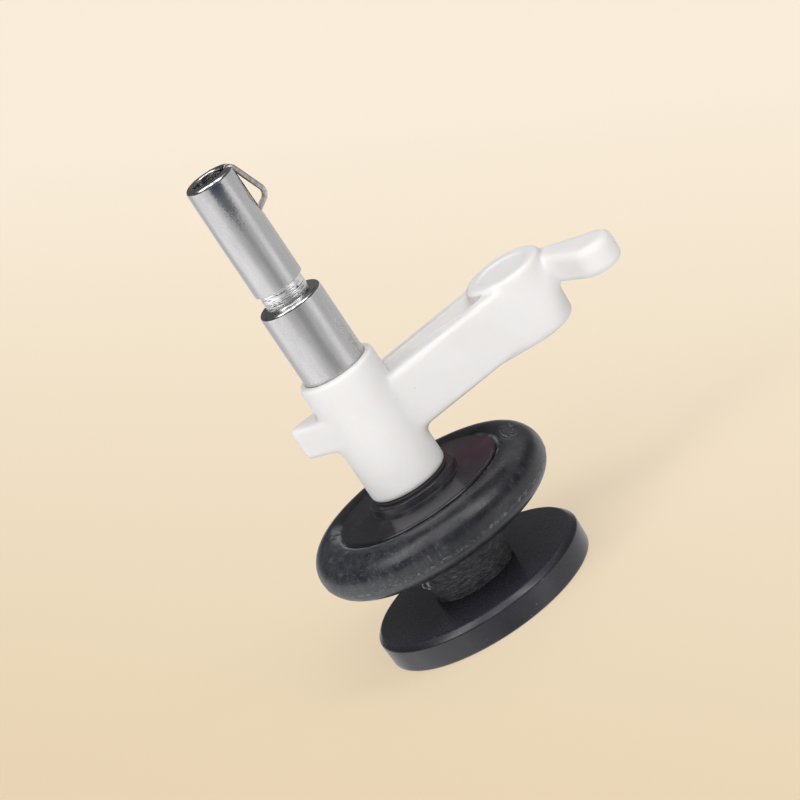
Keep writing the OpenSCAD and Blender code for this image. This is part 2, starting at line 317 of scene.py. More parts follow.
def carved(bm: BMesh, cutters: Sequence[BMesh]) -> BMesh:
    """Cuts closed shapes out of a closed shape.

    Args:
        bm: the shape to cut, which is freed.
        cutters: the shapes to take away, which are freed.

    Returns:
        What is left.
    """
    stock = placed("stock", mesh_of(bm, "stock"))
    tools = [placed("cutter", mesh_of(cutter, "cutter")) for cutter in cutters]
    for tool in tools:
        cut = stock.modifiers.new("cut", "BOOLEAN")
        cut.operation = "DIFFERENCE"
        cut.solver = "EXACT"
        cut.object = tool
    left = evaluated(stock)
    for tool in tools:
        discard(tool)
    bmesh.ops.remove_doubles(left, verts=left.verts[:], dist=WELD)
    bmesh.ops.triangulate(left, faces=left.faces[:], quad_method="BEAUTY", ngon_method="BEAUTY")
    drop_twins(left)
    return left


def fused(bm: BMesh, voxel: float) -> BMesh:
    """Fuses overlapping closed shapes into one skin.

    Args:
        bm: the shapes, which are freed.
        voxel: the size of the skin's faces.

    Returns:
        The skin.
    """
    obj = placed("fusing", mesh_of(bm, "fusing"))
    skin = obj.modifiers.new("skin", "REMESH")
    skin.mode = "VOXEL"
    skin.voxel_size = voxel
    return evaluated(obj)


def gathered(parts: Sequence[BMesh]) -> BMesh:
    """Puts several shapes into one bmesh.

    Args:
        parts: the shapes, which are freed.

    Returns:
        All of them, not joined.
    """
    bm = bmesh.new()
    for part in parts:
        mesh = mesh_of(part, "part")
        bm.from_mesh(mesh)
        bpy.data.meshes.remove(mesh)
    return bm


def hulled(parts: Sequence[BMesh]) -> BMesh:
    """Stretches one skin over several shapes.

    Args:
        parts: the shapes, which are freed.

    Returns:
        The skin.
    """
    bm = gathered(parts)
    made = bmesh.ops.convex_hull(bm, input=bm.verts[:])
    spare = set(made["geom_interior"]) | set(made["geom_unused"])
    bmesh.ops.delete(bm, geom=[g for g in spare if isinstance(g, BMVert)], context="VERTS")
    loose = [f for f in bm.faces if f not in set(made["geom"])]
    bmesh.ops.delete(bm, geom=loose, context="FACES")
    return tidied(bm)


class Wire:
    """A round wire that is drawn and bent from one end to the other."""

    def __init__(self, start: Vector, way: Vector, r: float, sides: int = 20) -> None:
        """Starts the wire with an open ring.

        Args:
            start: the middle of the ring.
            way: where the wire goes first.
            r: the wire's radius.
            sides: the ring's number of sides.
        """
        self.bm = bmesh.new()
        bmesh.ops.create_circle(self.bm, cap_ends=False, radius=r, segments=sides,
                                matrix=facing(start, way))
        self.ring: list[Any] = self.bm.verts[:] + self.bm.edges[:]

    def draw(self, vector: Vector) -> None:
        """Draws the wire on along a straight line.

        Args:
            vector: the line's length and direction.
        """
        rim = [g for g in self.ring if isinstance(g, BMEdge)]
        made = bmesh.ops.extrude_edge_only(self.bm, edges=rim)
        verts = {g for g in made["geom"] if isinstance(g, BMVert)}
        edges = [g for g in made["geom"] if isinstance(g, BMEdge) and set(g.verts) <= verts]
        bmesh.ops.translate(self.bm, verts=list(verts), vec=vector)
        self.ring = list(verts) + edges

    def bend(self, centre: Vector, axis: Vector, angle: float) -> None:
        """Bends the wire on round a centre.

        Args:
            centre: the bend's centre.
            axis: the line that it turns about.
            angle: how far it turns, in radians.
        """
        steps = max(3, round(math.degrees(angle) / BEND_STEP))
        made = bmesh.ops.spin(self.bm, geom=self.ring, cent=centre, axis=axis, angle=angle,
                              steps=steps, use_merge=False, use_duplicate=False)
        self.ring = list(made["geom_last"])

    def closed(self, burr: float) -> BMesh:
        """Closes both ends and files their edges.

        Args:
            burr: how much is filed off an edge.

        Returns:
            The wire's shape.
        """
        bmesh.ops.remove_doubles(self.bm, verts=self.bm.verts[:], dist=WELD)
        rims = [e for e in self.bm.edges if e.is_boundary]
        made = bmesh.ops.holes_fill(self.bm, edges=rims, sides=0)
        ends = [e for f in made["faces"] for e in f.edges]
        bmesh.ops.bevel(self.bm, geom=ends, offset=burr, offset_type="OFFSET", affect="EDGES",
                        segments=2, profile=0.5, material=-1)
        bmesh.ops.recalc_face_normals(self.bm, faces=self.bm.faces[:])
        return self.bm


def bent_along(points: Sequence[Vector], r: float, bends: Sequence[float]) -> Wire:
    """Draws a wire along a line of points and rounds its corners.

    Args:
        points: the corners of the wire's middle line.
        r: the wire's radius.
        bends: the radius of each bend, which a short leg makes tighter.

    Returns:
        The wire, still open at both ends.
    """
    wire = Wire(points[0], points[1] - points[0], r)
    at = points[0]
    for before, corner, after, bend_r in zip(points, points[1:], points[2:], bends):
        u, w = (corner - before).normalized(), (after - corner).normalized()
        angle = u.angle(w)
        leg = min((corner - before).length, (after - corner).length)
        radius = min(bend_r, BEND_SHARE * leg / math.tan(angle / 2))
        tangent = radius * math.tan(angle / 2)
        start = corner - tangent * u
        wire.draw(start - at)
        axis = u.cross(w).normalized()
        wire.bend(start + radius * axis.cross(u), axis, angle)
        at = corner + tangent * w
    wire.draw(points[-1] - at)
    return wire


def paint(bm: BMesh, index: int, test: Callable[[Vector], bool]) -> None:
    """Gives a finish to the faces whose middle passes a test.

    Args:
        bm: the shape.
        index: the finish's place in the piece's list.
        test: tells from a face's middle whether it has the finish.
    """
    for face in bm.faces:
        if test(face.calc_center_median()):
            face.material_index = index


def finish_piece(name: str, bm: BMesh, body: Body, finishes: Sequence["Finish"],
                 replaces: Sequence[str] = (), sharp: float = 38.0) -> None:
    """Turns a bmesh in millimetres into a dressed piece of the object.

    Args:
        name: the piece's name.
        bm: its shape, which is freed.
        body: the rigid body that it moves with.
        finishes: its finishes, in the order of its faces' material indices.
        replaces: the CAD nodes that it stands for.
        sharp: the angle in degrees above which an edge stays sharp.
    """
    limit = math.radians(sharp)
    for edge in bm.edges:
        edge.smooth = edge.is_manifold and edge.calc_face_angle(0.0) < limit
    for face in bm.faces:
        face.smooth = True
    bmesh.ops.scale(bm, vec=(MM, MM, MM), verts=bm.verts[:])
    obj = placed(name, mesh_of(bm, name))
    for finish in finishes:
        obj.data.materials.append(finish.material())
    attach(obj, body.value)
    if replaces:
        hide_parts(*replaces)
    LOG.info("%s: %d faces on %s", name, len(obj.data.polygons), body.value)


# ---- Shader building ----


class Shader:
    """Adds and links the nodes of one node tree."""

    def __init__(self, tree: bpy.types.NodeTree) -> None:
        """Takes the tree to build in."""
        self.tree = tree

    def feed(self, socket: Socket, value: Value) -> None:
        """Links an input or sets its value.

        Args:
            socket: the input.
            value: what it is fed with.
        """
        if isinstance(value, Socket):
            self.tree.links.new(value, socket)
        elif socket.type == "RGBA":
            socket.default_value = (*value, 1.0)
        else:
            socket.default_value = value

    def add(self, kind: str, inputs: dict[Any, Value] | None = None, **settings: Any) -> bpy.types.Node:
        """Adds a node.

        Args:
            kind: the node's type name, without its ShaderNode prefix.
            inputs: values or sockets for its inputs, by name or number.
            settings: the node's own properties.

        Returns:
            The node.
        """
        node = self.tree.nodes.new("ShaderNode" + kind)
        for key, value in settings.items():
            setattr(node, key, value)
        for key, value in (inputs or {}).items():
            self.feed(node.inputs[key], value)
        return node

    def math(self, operation: str, *values: Value) -> Socket:
        """Adds a math node and returns its result."""
        return self.add("Math", dict(enumerate(values)), operation=operation).outputs[0]

    def times(self, value: Value, *others: Value) -> Socket:
        """Multiplies values together, one after another.

        Args:
            value: the first of them.
            others: the rest.

        Returns:
            Their product.
        """
        for other in others:
            value = self.math("MULTIPLY", value, other)
        return value

    def gap(self, a: Value, b: Value) -> Socket:
        """Returns how far apart two numbers are."""
        return self.math("ABSOLUTE", self.math("SUBTRACT", a, b))

    def measure(self, operation: str, a: Value, b: Value) -> Socket:
        """Returns the number that two vectors give, such as their distance."""
        return self.add("VectorMath", {0: a, 1: b}, operation=operation).outputs["Value"]

    def bearing(self, x: Value, y: Value, start: Value) -> Socket:
        """Finds the direction of a point, seen from the Z axis.

        Args:
            x: the point's place along X.
            y: its place along Y.
            start: the direction that counts as zero, in degrees.

        Returns:
            The direction, -180 to 180 degrees.
        """
        angle = self.math("MULTIPLY", self.math("ARCTAN2", y, x), 180 / math.pi)
        return self.math("WRAP", self.math("SUBTRACT", angle, start), 180.0, -180.0)

    def mix(self, factor: Value, a: Value, b: Value) -> Socket:
        """Mixes two colours and returns the result."""
        return self.add("Mix", {0: factor, 6: a, 7: b}, data_type="RGBA").outputs[2]

    def over(self, under: Value, mask: Value, strength: float, colour: Value) -> Socket:
        """Lays a colour over another through a mask, and returns the result."""
        return self.mix(self.math("MULTIPLY", mask, strength), under, colour)

    def span(self, value: Value, low: Value, high: Value, to_low: float = 0.0,
             to_high: float = 1.0, smooth: bool = True) -> Socket:
        """Maps a range of a value to another range, and holds it at both ends.

        Args:
            value: the value.
            low: where its range starts.
            high: where its range ends.
            to_low: the result at the start.
            to_high: the result at the end.
            smooth: whether the result eases in and out.

        Returns:
            The result.
        """
        inputs = {"Value": value, "From Min": low, "From Max": high, "To Min": to_low, "To Max": to_high}
        kind = "SMOOTHSTEP" if smooth else "LINEAR"
        return self.add("MapRange", inputs, interpolation_type=kind).outputs[0]

    def fall(self, value: Value, low: float, high: float) -> Socket:
        """Maps a range of a value to a smooth fall from 1 to 0, and returns the result."""
        return self.span(value, low, high, 1.0, 0.0)

    def noise(self, vector: Value, scale: Value, detail: float = 3.0, roughness: float = 0.5,
              distortion: float = 0.0) -> Socket:
        """Adds a noise texture.

        Args:
            vector: where it is read.
            scale: how fine it is.
            detail: how many finer layers it has.
            roughness: how strong they are.
            distortion: how far it is bent.

        Returns:
            Its value.
        """
        inputs = {"Vector": vector, "Scale": scale, "Detail": detail, "Roughness": roughness,
                  "Distortion": distortion}
        return self.add("TexNoise", inputs).outputs[0]

    def stretched(self, vector: Value, scale: Point, turn: Point = (0, 0, 0)) -> Socket:
        """Scales and turns a vector.

        Args:
            vector: the vector.
            scale: how much finer a pattern gets along each axis.
            turn: the turn about each axis, in degrees.

        Returns:
            The new vector.
        """
        angles = tuple(math.radians(a) for a in turn)
        return self.add("Mapping", {"Vector": vector, "Scale": scale, "Rotation": angles}).outputs[0]


class Effect(Enum):
    """The surface effects that several finishes share."""

    GRAIN = "surface_grain"
    SPECKS = "dust_specks"
    SCRATCHES = "fine_scratches"
    RINGS = "turning_rings"
    BLOTCHES = "soft_blotches"
    AROUND = "around_the_spindle"


class EffectGroup(Shader):
    """A shared effect's node group, with a Vector input and its own number inputs and outputs."""

    inputs: dict[str, float] = {}
    outputs: tuple[str, ...] = ("Mask",)

    def __init__(self, name: str) -> None:
        """Builds the group.

        Args:
            name: the group's name.
        """
        super().__init__(bpy.data.node_groups.new(name, "ShaderNodeTree"))
        face = self.tree.interface
        face.new_socket("Vector", in_out="INPUT", socket_type="NodeSocketVector")
        for label, default in self.inputs.items():
            face.new_socket(label, in_out="INPUT", socket_type="NodeSocketFloat").default_value = default
        for label in self.outputs:
            face.new_socket(label, in_out="OUTPUT", socket_type="NodeSocketFloat")
        self.given = self.tree.nodes.new("NodeGroupInput").outputs
        self.made = self.tree.nodes.new("NodeGroupOutput").inputs
        self.fill()

    def fill(self) -> None:
        """Builds the nodes between the inputs and the outputs."""
        raise NotImplementedError


class Grain(EffectGroup):
    """Fine moulded or blasted grain."""

    inputs = {"Scale": 8.0}
    outputs = ("Height",)

    def fill(self) -> None:
        """Builds the nodes between the inputs and the outputs."""
        fine = self.noise(self.given["Vector"], scale=self.given["Scale"], detail=4.0, roughness=0.62)
        self.feed(self.made["Height"], fine)


class Specks(EffectGroup):
    """Small specks of dust. Share is how many of the cells have one."""

    inputs = {"Scale": 2.0, "Size": 0.08, "Share": 0.3}

    def fill(self) -> None:
        """Builds the nodes between the inputs and the outputs."""
        cells = self.add("TexVoronoi", {"Vector": self.given["Vector"], "Scale": self.given["Scale"],
                                        "Randomness": 1.0}, feature="F1").outputs
        near = self.math("LESS_THAN", cells["Distance"], self.given["Size"])
        pick = self.add("SeparateColor", {0: cells["Color"]}).outputs[0]
        held = self.math("LESS_THAN", pick, self.given["Share"])
        self.feed(self.made["Mask"], self.times(near, held))


class Scratches(EffectGroup):
    """Thin scratches in three directions, broken into short lengths."""

    inputs = {"Scale": 1.0, "Share": 0.5}
    ways: tuple[tuple[Point, float], ...] = (
        ((20, 35, 10), 9.0), ((75, -20, 60), 12.0), ((-40, 60, 130), 7.0))
    width: float = 0.012

    def fill(self) -> None:
        """Builds the nodes between the inputs and the outputs."""
        vector = self.given["Vector"]
        total: Value = 0.0
        for turn, stretch in self.ways:
            laid = {0: self.stretched(vector, (stretch, 0.5, stretch), turn), "Scale": self.given["Scale"]}
            scaled = self.add("VectorMath", laid, operation="SCALE").outputs[0]
            line = self.fall(self.gap(self.noise(scaled, scale=1.0, detail=1.0), 0.5), 0.0, self.width)
            patch = self.noise(vector, scale=0.55 + stretch * 0.03, detail=2.0)
            kept = self.math("GREATER_THAN", self.given["Share"], patch)
            total = self.math("MAXIMUM", total, self.times(line, kept))
        self.feed(self.made["Mask"], total)


class Rings(EffectGroup):
    """Rings that a turning tool leaves round the Z axis."""

    inputs = {"Pitch": 0.12, "Wobble": 0.3}
    outputs = ("Height",)

    def fill(self) -> None:
        """Builds the nodes between the inputs and the outputs."""
        vector = self.given["Vector"]
        up = self.add("SeparateXYZ", {0: vector}).outputs[2]
        wander = self.times(self.noise(vector, scale=1.5, detail=2.0), self.given["Wobble"])
        phase = self.math("DIVIDE", self.math("ADD", up, wander), self.given["Pitch"])
        wave = self.math("SINE", self.times(phase, math.tau))
        uneven = self.noise(self.stretched(vector, (0.3, 0.3, 14.0)), scale=1.0)
        self.feed(self.made["Height"], self.times(self.math("ADD", wave, 1.0), uneven))


class Blotches(EffectGroup):
    """Soft uneven patches."""

    inputs = {"Scale": 0.3, "Edge": 0.5, "Softness": 0.12}

    def fill(self) -> None:
        """Builds the nodes between the inputs and the outputs."""
        cloud = self.noise(self.given["Vector"], scale=self.given["Scale"], detail=5.0, roughness=0.6)
        low, high = (self.math(side, self.given["Edge"], self.given["Softness"])
                     for side in ("SUBTRACT", "ADD"))
        self.feed(self.made["Mask"], self.span(cloud, low, high))


class Around(EffectGroup):
    """Where a point lies round the Z axis, with its angle in degrees."""

    inputs = {"Start": 0.0}
    outputs = ("Angle", "Radius", "Up")

    def fill(self) -> None:
        """Builds the nodes between the inputs and the outputs."""
        x, y, z = self.add("SeparateXYZ", {0: self.given["Vector"]}).outputs
        self.feed(self.made["Angle"], self.bearing(x, y, self.given["Start"]))
        squares = self.math("ADD", self.times(x, x), self.times(y, y))
        self.feed(self.made["Radius"], self.math("SQRT", squares))
        self.feed(self.made["Up"], z)


EFFECT_GROUPS: dict[Effect, type[EffectGroup]] = {
    Effect.GRAIN: Grain, Effect.SPECKS: Specks, Effect.SCRATCHES: Scratches,
    Effect.RINGS: Rings, Effect.BLOTCHES: Blotches, Effect.AROUND: Around}


class Surface(Shader):
    """One material's nodes, with its millimetre coordinates and its Principled shader."""

    def __init__(self, name: str) -> None:
        """Starts a material.

        Args:
            name: the material's name.
        """
        self.made = bpy.data.materials.new(name)
        self.made.use_nodes = True
        super().__init__(self.made.node_tree)
        self.shader = self.tree.nodes["Principled BSDF"]
        self.mm = self.stretched(self.add("TexCoord").outputs["Object"], (1 / MM, 1 / MM, 1 / MM))

    def place(self, effect: Effect, **inputs: float) -> Sequence[Socket]:
        """Places a shared effect, whose group is built on first use.

        Args:
            effect: the effect.
            inputs: its values in this material.

        Returns:
            Its outputs.
        """
        known = bpy.data.node_groups.get(effect.value)
        node = self.tree.nodes.new("ShaderNodeGroup")
        node.node_tree = known or EFFECT_GROUPS[effect](effect.value).tree
        for key, value in {"Vector": self.mm, **inputs}.items():
            self.feed(node.inputs[key], value)
        return node.outputs

    def effect(self, effect: Effect, **inputs: float) -> Socket:
        """Places a shared effect and returns its only output."""
        return self.place(effect, **inputs)[0]

    def around(self, start: float) -> Sequence[Socket]:
        """Returns a point's angle from a start in degrees, its radius and its height."""
        return self.place(Effect.AROUND, Start=start)

    def swing(self, noise: Value, low: float, high: float) -> Socket:
        """Lets a noise move a value between two limits, and returns the value."""
        return self.span(noise, *NOISE_SPAN, low, high)

    def relief(self, *layers: tuple[Value, float]) -> Socket:
        """Turns layers of height into one normal.

        Args:
            layers: each layer's height, with the millimetres that a height of 1 stands for.

        Returns:
            The normal.
        """
        inputs: dict[str, Value] = {"Strength": 1.0}
        for height, depth in layers:
            inputs |= {"Height": height, "Distance": depth * MM}
            inputs["Normal"] = self.add("Bump", inputs).outputs[0]
        return inputs["Normal"]

    def set(self, **values: Value) -> None:
        """Feeds the shader's inputs.

        Args:
            values: what each is fed with, named with underscores for spaces.
        """
        for key, value in values.items():
            self.feed(self.shader.inputs[key.replace("_", " ")], value)


# ---- Finishes ----


@dataclass(frozen=True)
class Finish:
    """A material and the record's slot that it belongs to."""

    slot: Slot
    name: str

    def material(self) -> bpy.types.Material:
        """Finds the finish's material, or makes it on first use.

        Returns:
            The material.
        """
        known = bpy.data.materials.get(self.name)
        if known is None:
            surface = Surface(self.name)
            self.dress(surface)
            known = surface.made
        return known

    def dress(self, s: Surface) -> None:
        """Builds the finish's nodes.

        Args:
            s: the material's nodes.
        """
        raise NotImplementedError


@dataclass(frozen=True)
class SatinPlating(Finish):
    """Satin plated steel, with a painted reflection of the dark camera: a mottled streak that runs down the
    tip, darker near the top.
    """

    slot: Slot = Slot.PLATED_STEEL
    name: str = "satin_plating"
    metal: Colour = (0.575, 0.565, 0.570)
    clouded: float = 0.87
    # Colours and places of the painted reflection of the camera on the tip
    reflection_grey: Colour = (0.23, 0.235, 0.25)
    reflection_dark: Colour = (0.085, 0.10, 0.135)
    reflection_dark_z: Range = (56.0, 58.2)
    reflection_dir: float = -104.0
    reflection_half: Range = (2.0, 24.0)
    reflection_z: Range = (50.5, 58.5)

    def dress(self, s: Surface) -> None:
        """Builds the finish's nodes.

        Args:
            s: the material's nodes.
        """
        # Painted reflection: a dark mottle on the side facing the camera, stronger up the tip, laid over the
        # plating's colour
        angle, _, up = s.around(self.reflection_dir)
        fine = s.noise(s.stretched(s.mm, (1, 1, 0.45)), scale=10.0, detail=4.0, roughness=0.75)
        near = s.fall(s.math("ABSOLUTE", angle), *self.reflection_half)
        reflection_area = s.times(near, s.math("MULTIPLY_ADD", s.span(up, *self.reflection_z), 0.9, 0.10))
        painted_reflection = s.span(s.math("MULTIPLY_ADD", reflection_area, 0.46, fine), 0.60, 0.77)
        painted_reflection = s.times(painted_reflection, s.span(reflection_area, 0.02, 0.30))
        cloud = s.noise(s.stretched(s.mm, (0.9, 0.9, 0.14)), scale=1.0, detail=4.0, roughness=0.55)
        colour = s.mix(s.span(cloud, *NOISE_SPAN), self.metal, tuple(self.clouded * c for c in self.metal))
        dark = s.mix(s.span(up, *self.reflection_dark_z), self.reflection_grey, self.reflection_dark)
        s.set(Base_Color=s.over(colour, painted_reflection, 0.95, dark), Metallic=1.0,
              Roughness=s.swing(s.effect(Effect.GRAIN, Scale=3.0), 0.25, 0.32),
              Normal=s.relief((s.effect(Effect.RINGS, Pitch=0.6, Wobble=0.5), 0.0008),
                              (s.effect(Effect.GRAIN, Scale=2.5), 0.0010)))


@dataclass(frozen=True)
class PolishedRim(Finish):
    """Bright steel with a mirror finish, on the lips of the spindle."""

    slot: Slot = Slot.PLATED_STEEL
    name: str = "polished_rim"
    bright: Colour = (0.72, 0.71, 0.70)
    tarnished: Colour = (0.33, 0.31, 0.31)

    def dress(self, s: Surface) -> None:
        """Builds the finish's nodes.

        Args:
            s: the material's nodes.
        """
        tarnish = s.effect(Effect.BLOTCHES, Scale=1.2, Edge=0.56, Softness=0.1)
        s.set(Base_Color=s.over(self.bright, tarnish, 0.5, self.tarnished), Metallic=1.0,
              Roughness=s.swing(s.effect(Effect.GRAIN, Scale=2.0), 0.05, 0.13),
              Normal=s.relief((s.effect(Effect.RINGS, Pitch=0.05, Wobble=0.1), 0.0006)))


@dataclass(frozen=True)
class ToolMarked(Finish):
    """Bright steel left rough by the turning tool, in the neck."""

    slot: Slot = Slot.PLATED_STEEL
    name: str = "tool_marked_neck"
    bright: Colour = (0.80, 0.80, 0.80)
    gouged: Colour = (0.12, 0.12, 0.13)

    def dress(self, s: Surface) -> None:
        """Builds the finish's nodes.

        Args:
            s: the material's nodes.
        """
        torn = s.noise(s.stretched(s.mm, (0.7, 0.7, 7.0)), scale=1.0, roughness=0.6)
        chips = s.noise(s.stretched(s.mm, (2.0, 2.0, 6.0)), scale=1.5, detail=2.0, roughness=0.6)
        gouges = s.times(s.span(torn, 0.52, 0.62), s.span(chips, 0.40, 0.55))
        height = s.math("ADD", s.effect(Effect.RINGS, Pitch=0.22, Wobble=0.3), s.times(torn, 1.2))
        s.set(Base_Color=s.mix(gouges, self.bright, self.gouged), Metallic=1.0,
              Roughness=s.swing(torn, 0.14, 0.32), Normal=s.relief((height, 0.014)))


@dataclass(frozen=True)
class DarkBore(Finish):
    """The unpolished, oily inside of the spindle's bore and slot."""

    slot: Slot = Slot.PLATED_STEEL
    name: str = "oily_bore"
    metal: Colour = (0.88, 0.87, 0.86)
    oil: Colour = (0.30, 0.28, 0.28)

    def dress(self, s: Surface) -> None:
        """Builds the finish's nodes.

        Args:
            s: the material's nodes.
        """
        stain = s.effect(Effect.BLOTCHES, Scale=1.3, Edge=0.5, Softness=0.1)
        s.set(Base_Color=s.mix(stain, self.metal, self.oil), Metallic=1.0, Roughness=0.17,
              Normal=s.relief((s.effect(Effect.RINGS, Pitch=0.3, Wobble=0.5), 0.01)))


@dataclass(frozen=True)
class DrawnWire(Finish):
    """Dull drawn spring wire, worn in patches."""

    slot: Slot = Slot.SPRING_WIRE
    name: str = "drawn_wire"
    bare: Colour = (0.70, 0.66, 0.645)
    worn: Colour = (0.46, 0.41, 0.39)

    def dress(self, s: Surface) -> None:
        """Builds the finish's nodes.

        Args:
            s: the material's nodes.
        """
        wear = s.noise(s.mm, scale=2.4, detail=4.0, roughness=0.6)
        s.set(Base_Color=s.mix(s.span(wear, 0.35, 0.68), self.bare, self.worn), Metallic=0.85,
              Roughness=s.swing(wear, 0.38, 0.5),
              Normal=s.relief((s.effect(Effect.GRAIN, Scale=7.0), 0.006)))


@dataclass(frozen=True)
class WhiteMoulding(Finish):
    """Slightly translucent white plastic, satin from the mould."""

    slot: Slot = Slot.WHITE_PLASTIC
    name: str = "white_moulding"
    plastic: Colour = (0.790, 0.772, 0.762)
    warm: Colour = (0.770, 0.748, 0.732)
    dirt: Colour = (0.42, 0.31, 0.24)

    def dress(self, s: Surface) -> None:
        """Builds the finish's nodes.

        Args:
            s: the material's nodes.
        """
        flow = s.noise(s.mm, scale=0.16, distortion=0.6)
        colour = s.mix(s.span(flow, 0.35, 0.7), self.plastic, self.warm)
        dirt = s.effect(Effect.SPECKS, Scale=0.42, Size=0.03, Share=0.2)
        rub = s.times(s.effect(Effect.SCRATCHES, Scale=0.55, Share=0.42), 0.12)
        rough = s.math("ADD", s.swing(s.effect(Effect.GRAIN, Scale=0.9), 0.45, 0.57), rub)
        waves = s.noise(s.mm, scale=0.4, detail=1.0)
        s.set(Base_Color=s.over(colour, dirt, 0.45, self.dirt), Roughness=rough,
              Normal=s.relief((s.effect(Effect.GRAIN, Scale=4.5), 0.004), (waves, 0.02)),
              Subsurface_Weight=0.35, Subsurface_Radius=(1.0, 0.75, 0.55), Subsurface_Scale=0.0012,
              IOR=1.44, Specular_IOR_Level=0.35)


@dataclass(frozen=True)
class GlossBlack(Finish):
    """Black moulded plastic of the hub, nearly glossy, redder to one side, with dust at the collar's foot."""

    slot: Slot = Slot.BLACK_GLOSS
    name: str = "gloss_black"
    plastic: Colour = (0.013, 0.012, 0.016)
    tint: Colour = (0.040, 0.007, 0.018)
    tint_dir: float = 20.0
    tint_half: Range = (20.0, 95.0)
    film: Colour = (0.2, 0.2, 0.21)
    dust: Colour = (0.38, 0.37, 0.36)
    foot_r: float = 5.62
    foot_half: Range = (0.02, 0.14)

    def dress(self, s: Surface) -> None:
        """Builds the finish's nodes.

        Args:
            s: the material's nodes.
        """
        angle, radius, _ = s.around(self.tint_dir)
        tint = s.fall(s.math("ABSOLUTE", angle), *self.tint_half)
        colour = s.over(self.plastic, tint, 0.9, self.tint)
        caught = s.fall(s.gap(radius, self.foot_r), *self.foot_half)
        crumbs = s.times(caught, s.span(s.noise(s.mm, scale=6.0, detail=4.0, roughness=0.7), 0.56, 0.74))
        dust = s.math("MAXIMUM", s.effect(Effect.SPECKS, Scale=1.3, Size=0.055, Share=0.2), crumbs)
        film = s.effect(Effect.BLOTCHES, Scale=0.35, Edge=0.6, Softness=0.16)
        colour = s.over(s.over(colour, film, 0.10, self.film), dust, 0.7, self.dust)
        rough = s.swing(s.effect(Effect.GRAIN, Scale=1.5), 0.15, 0.21)
        s.set(Base_Color=colour, Roughness=s.math("ADD", rough, s.times(dust, 0.4)),
              Normal=s.relief((s.effect(Effect.GRAIN, Scale=2.0), 0.002)))


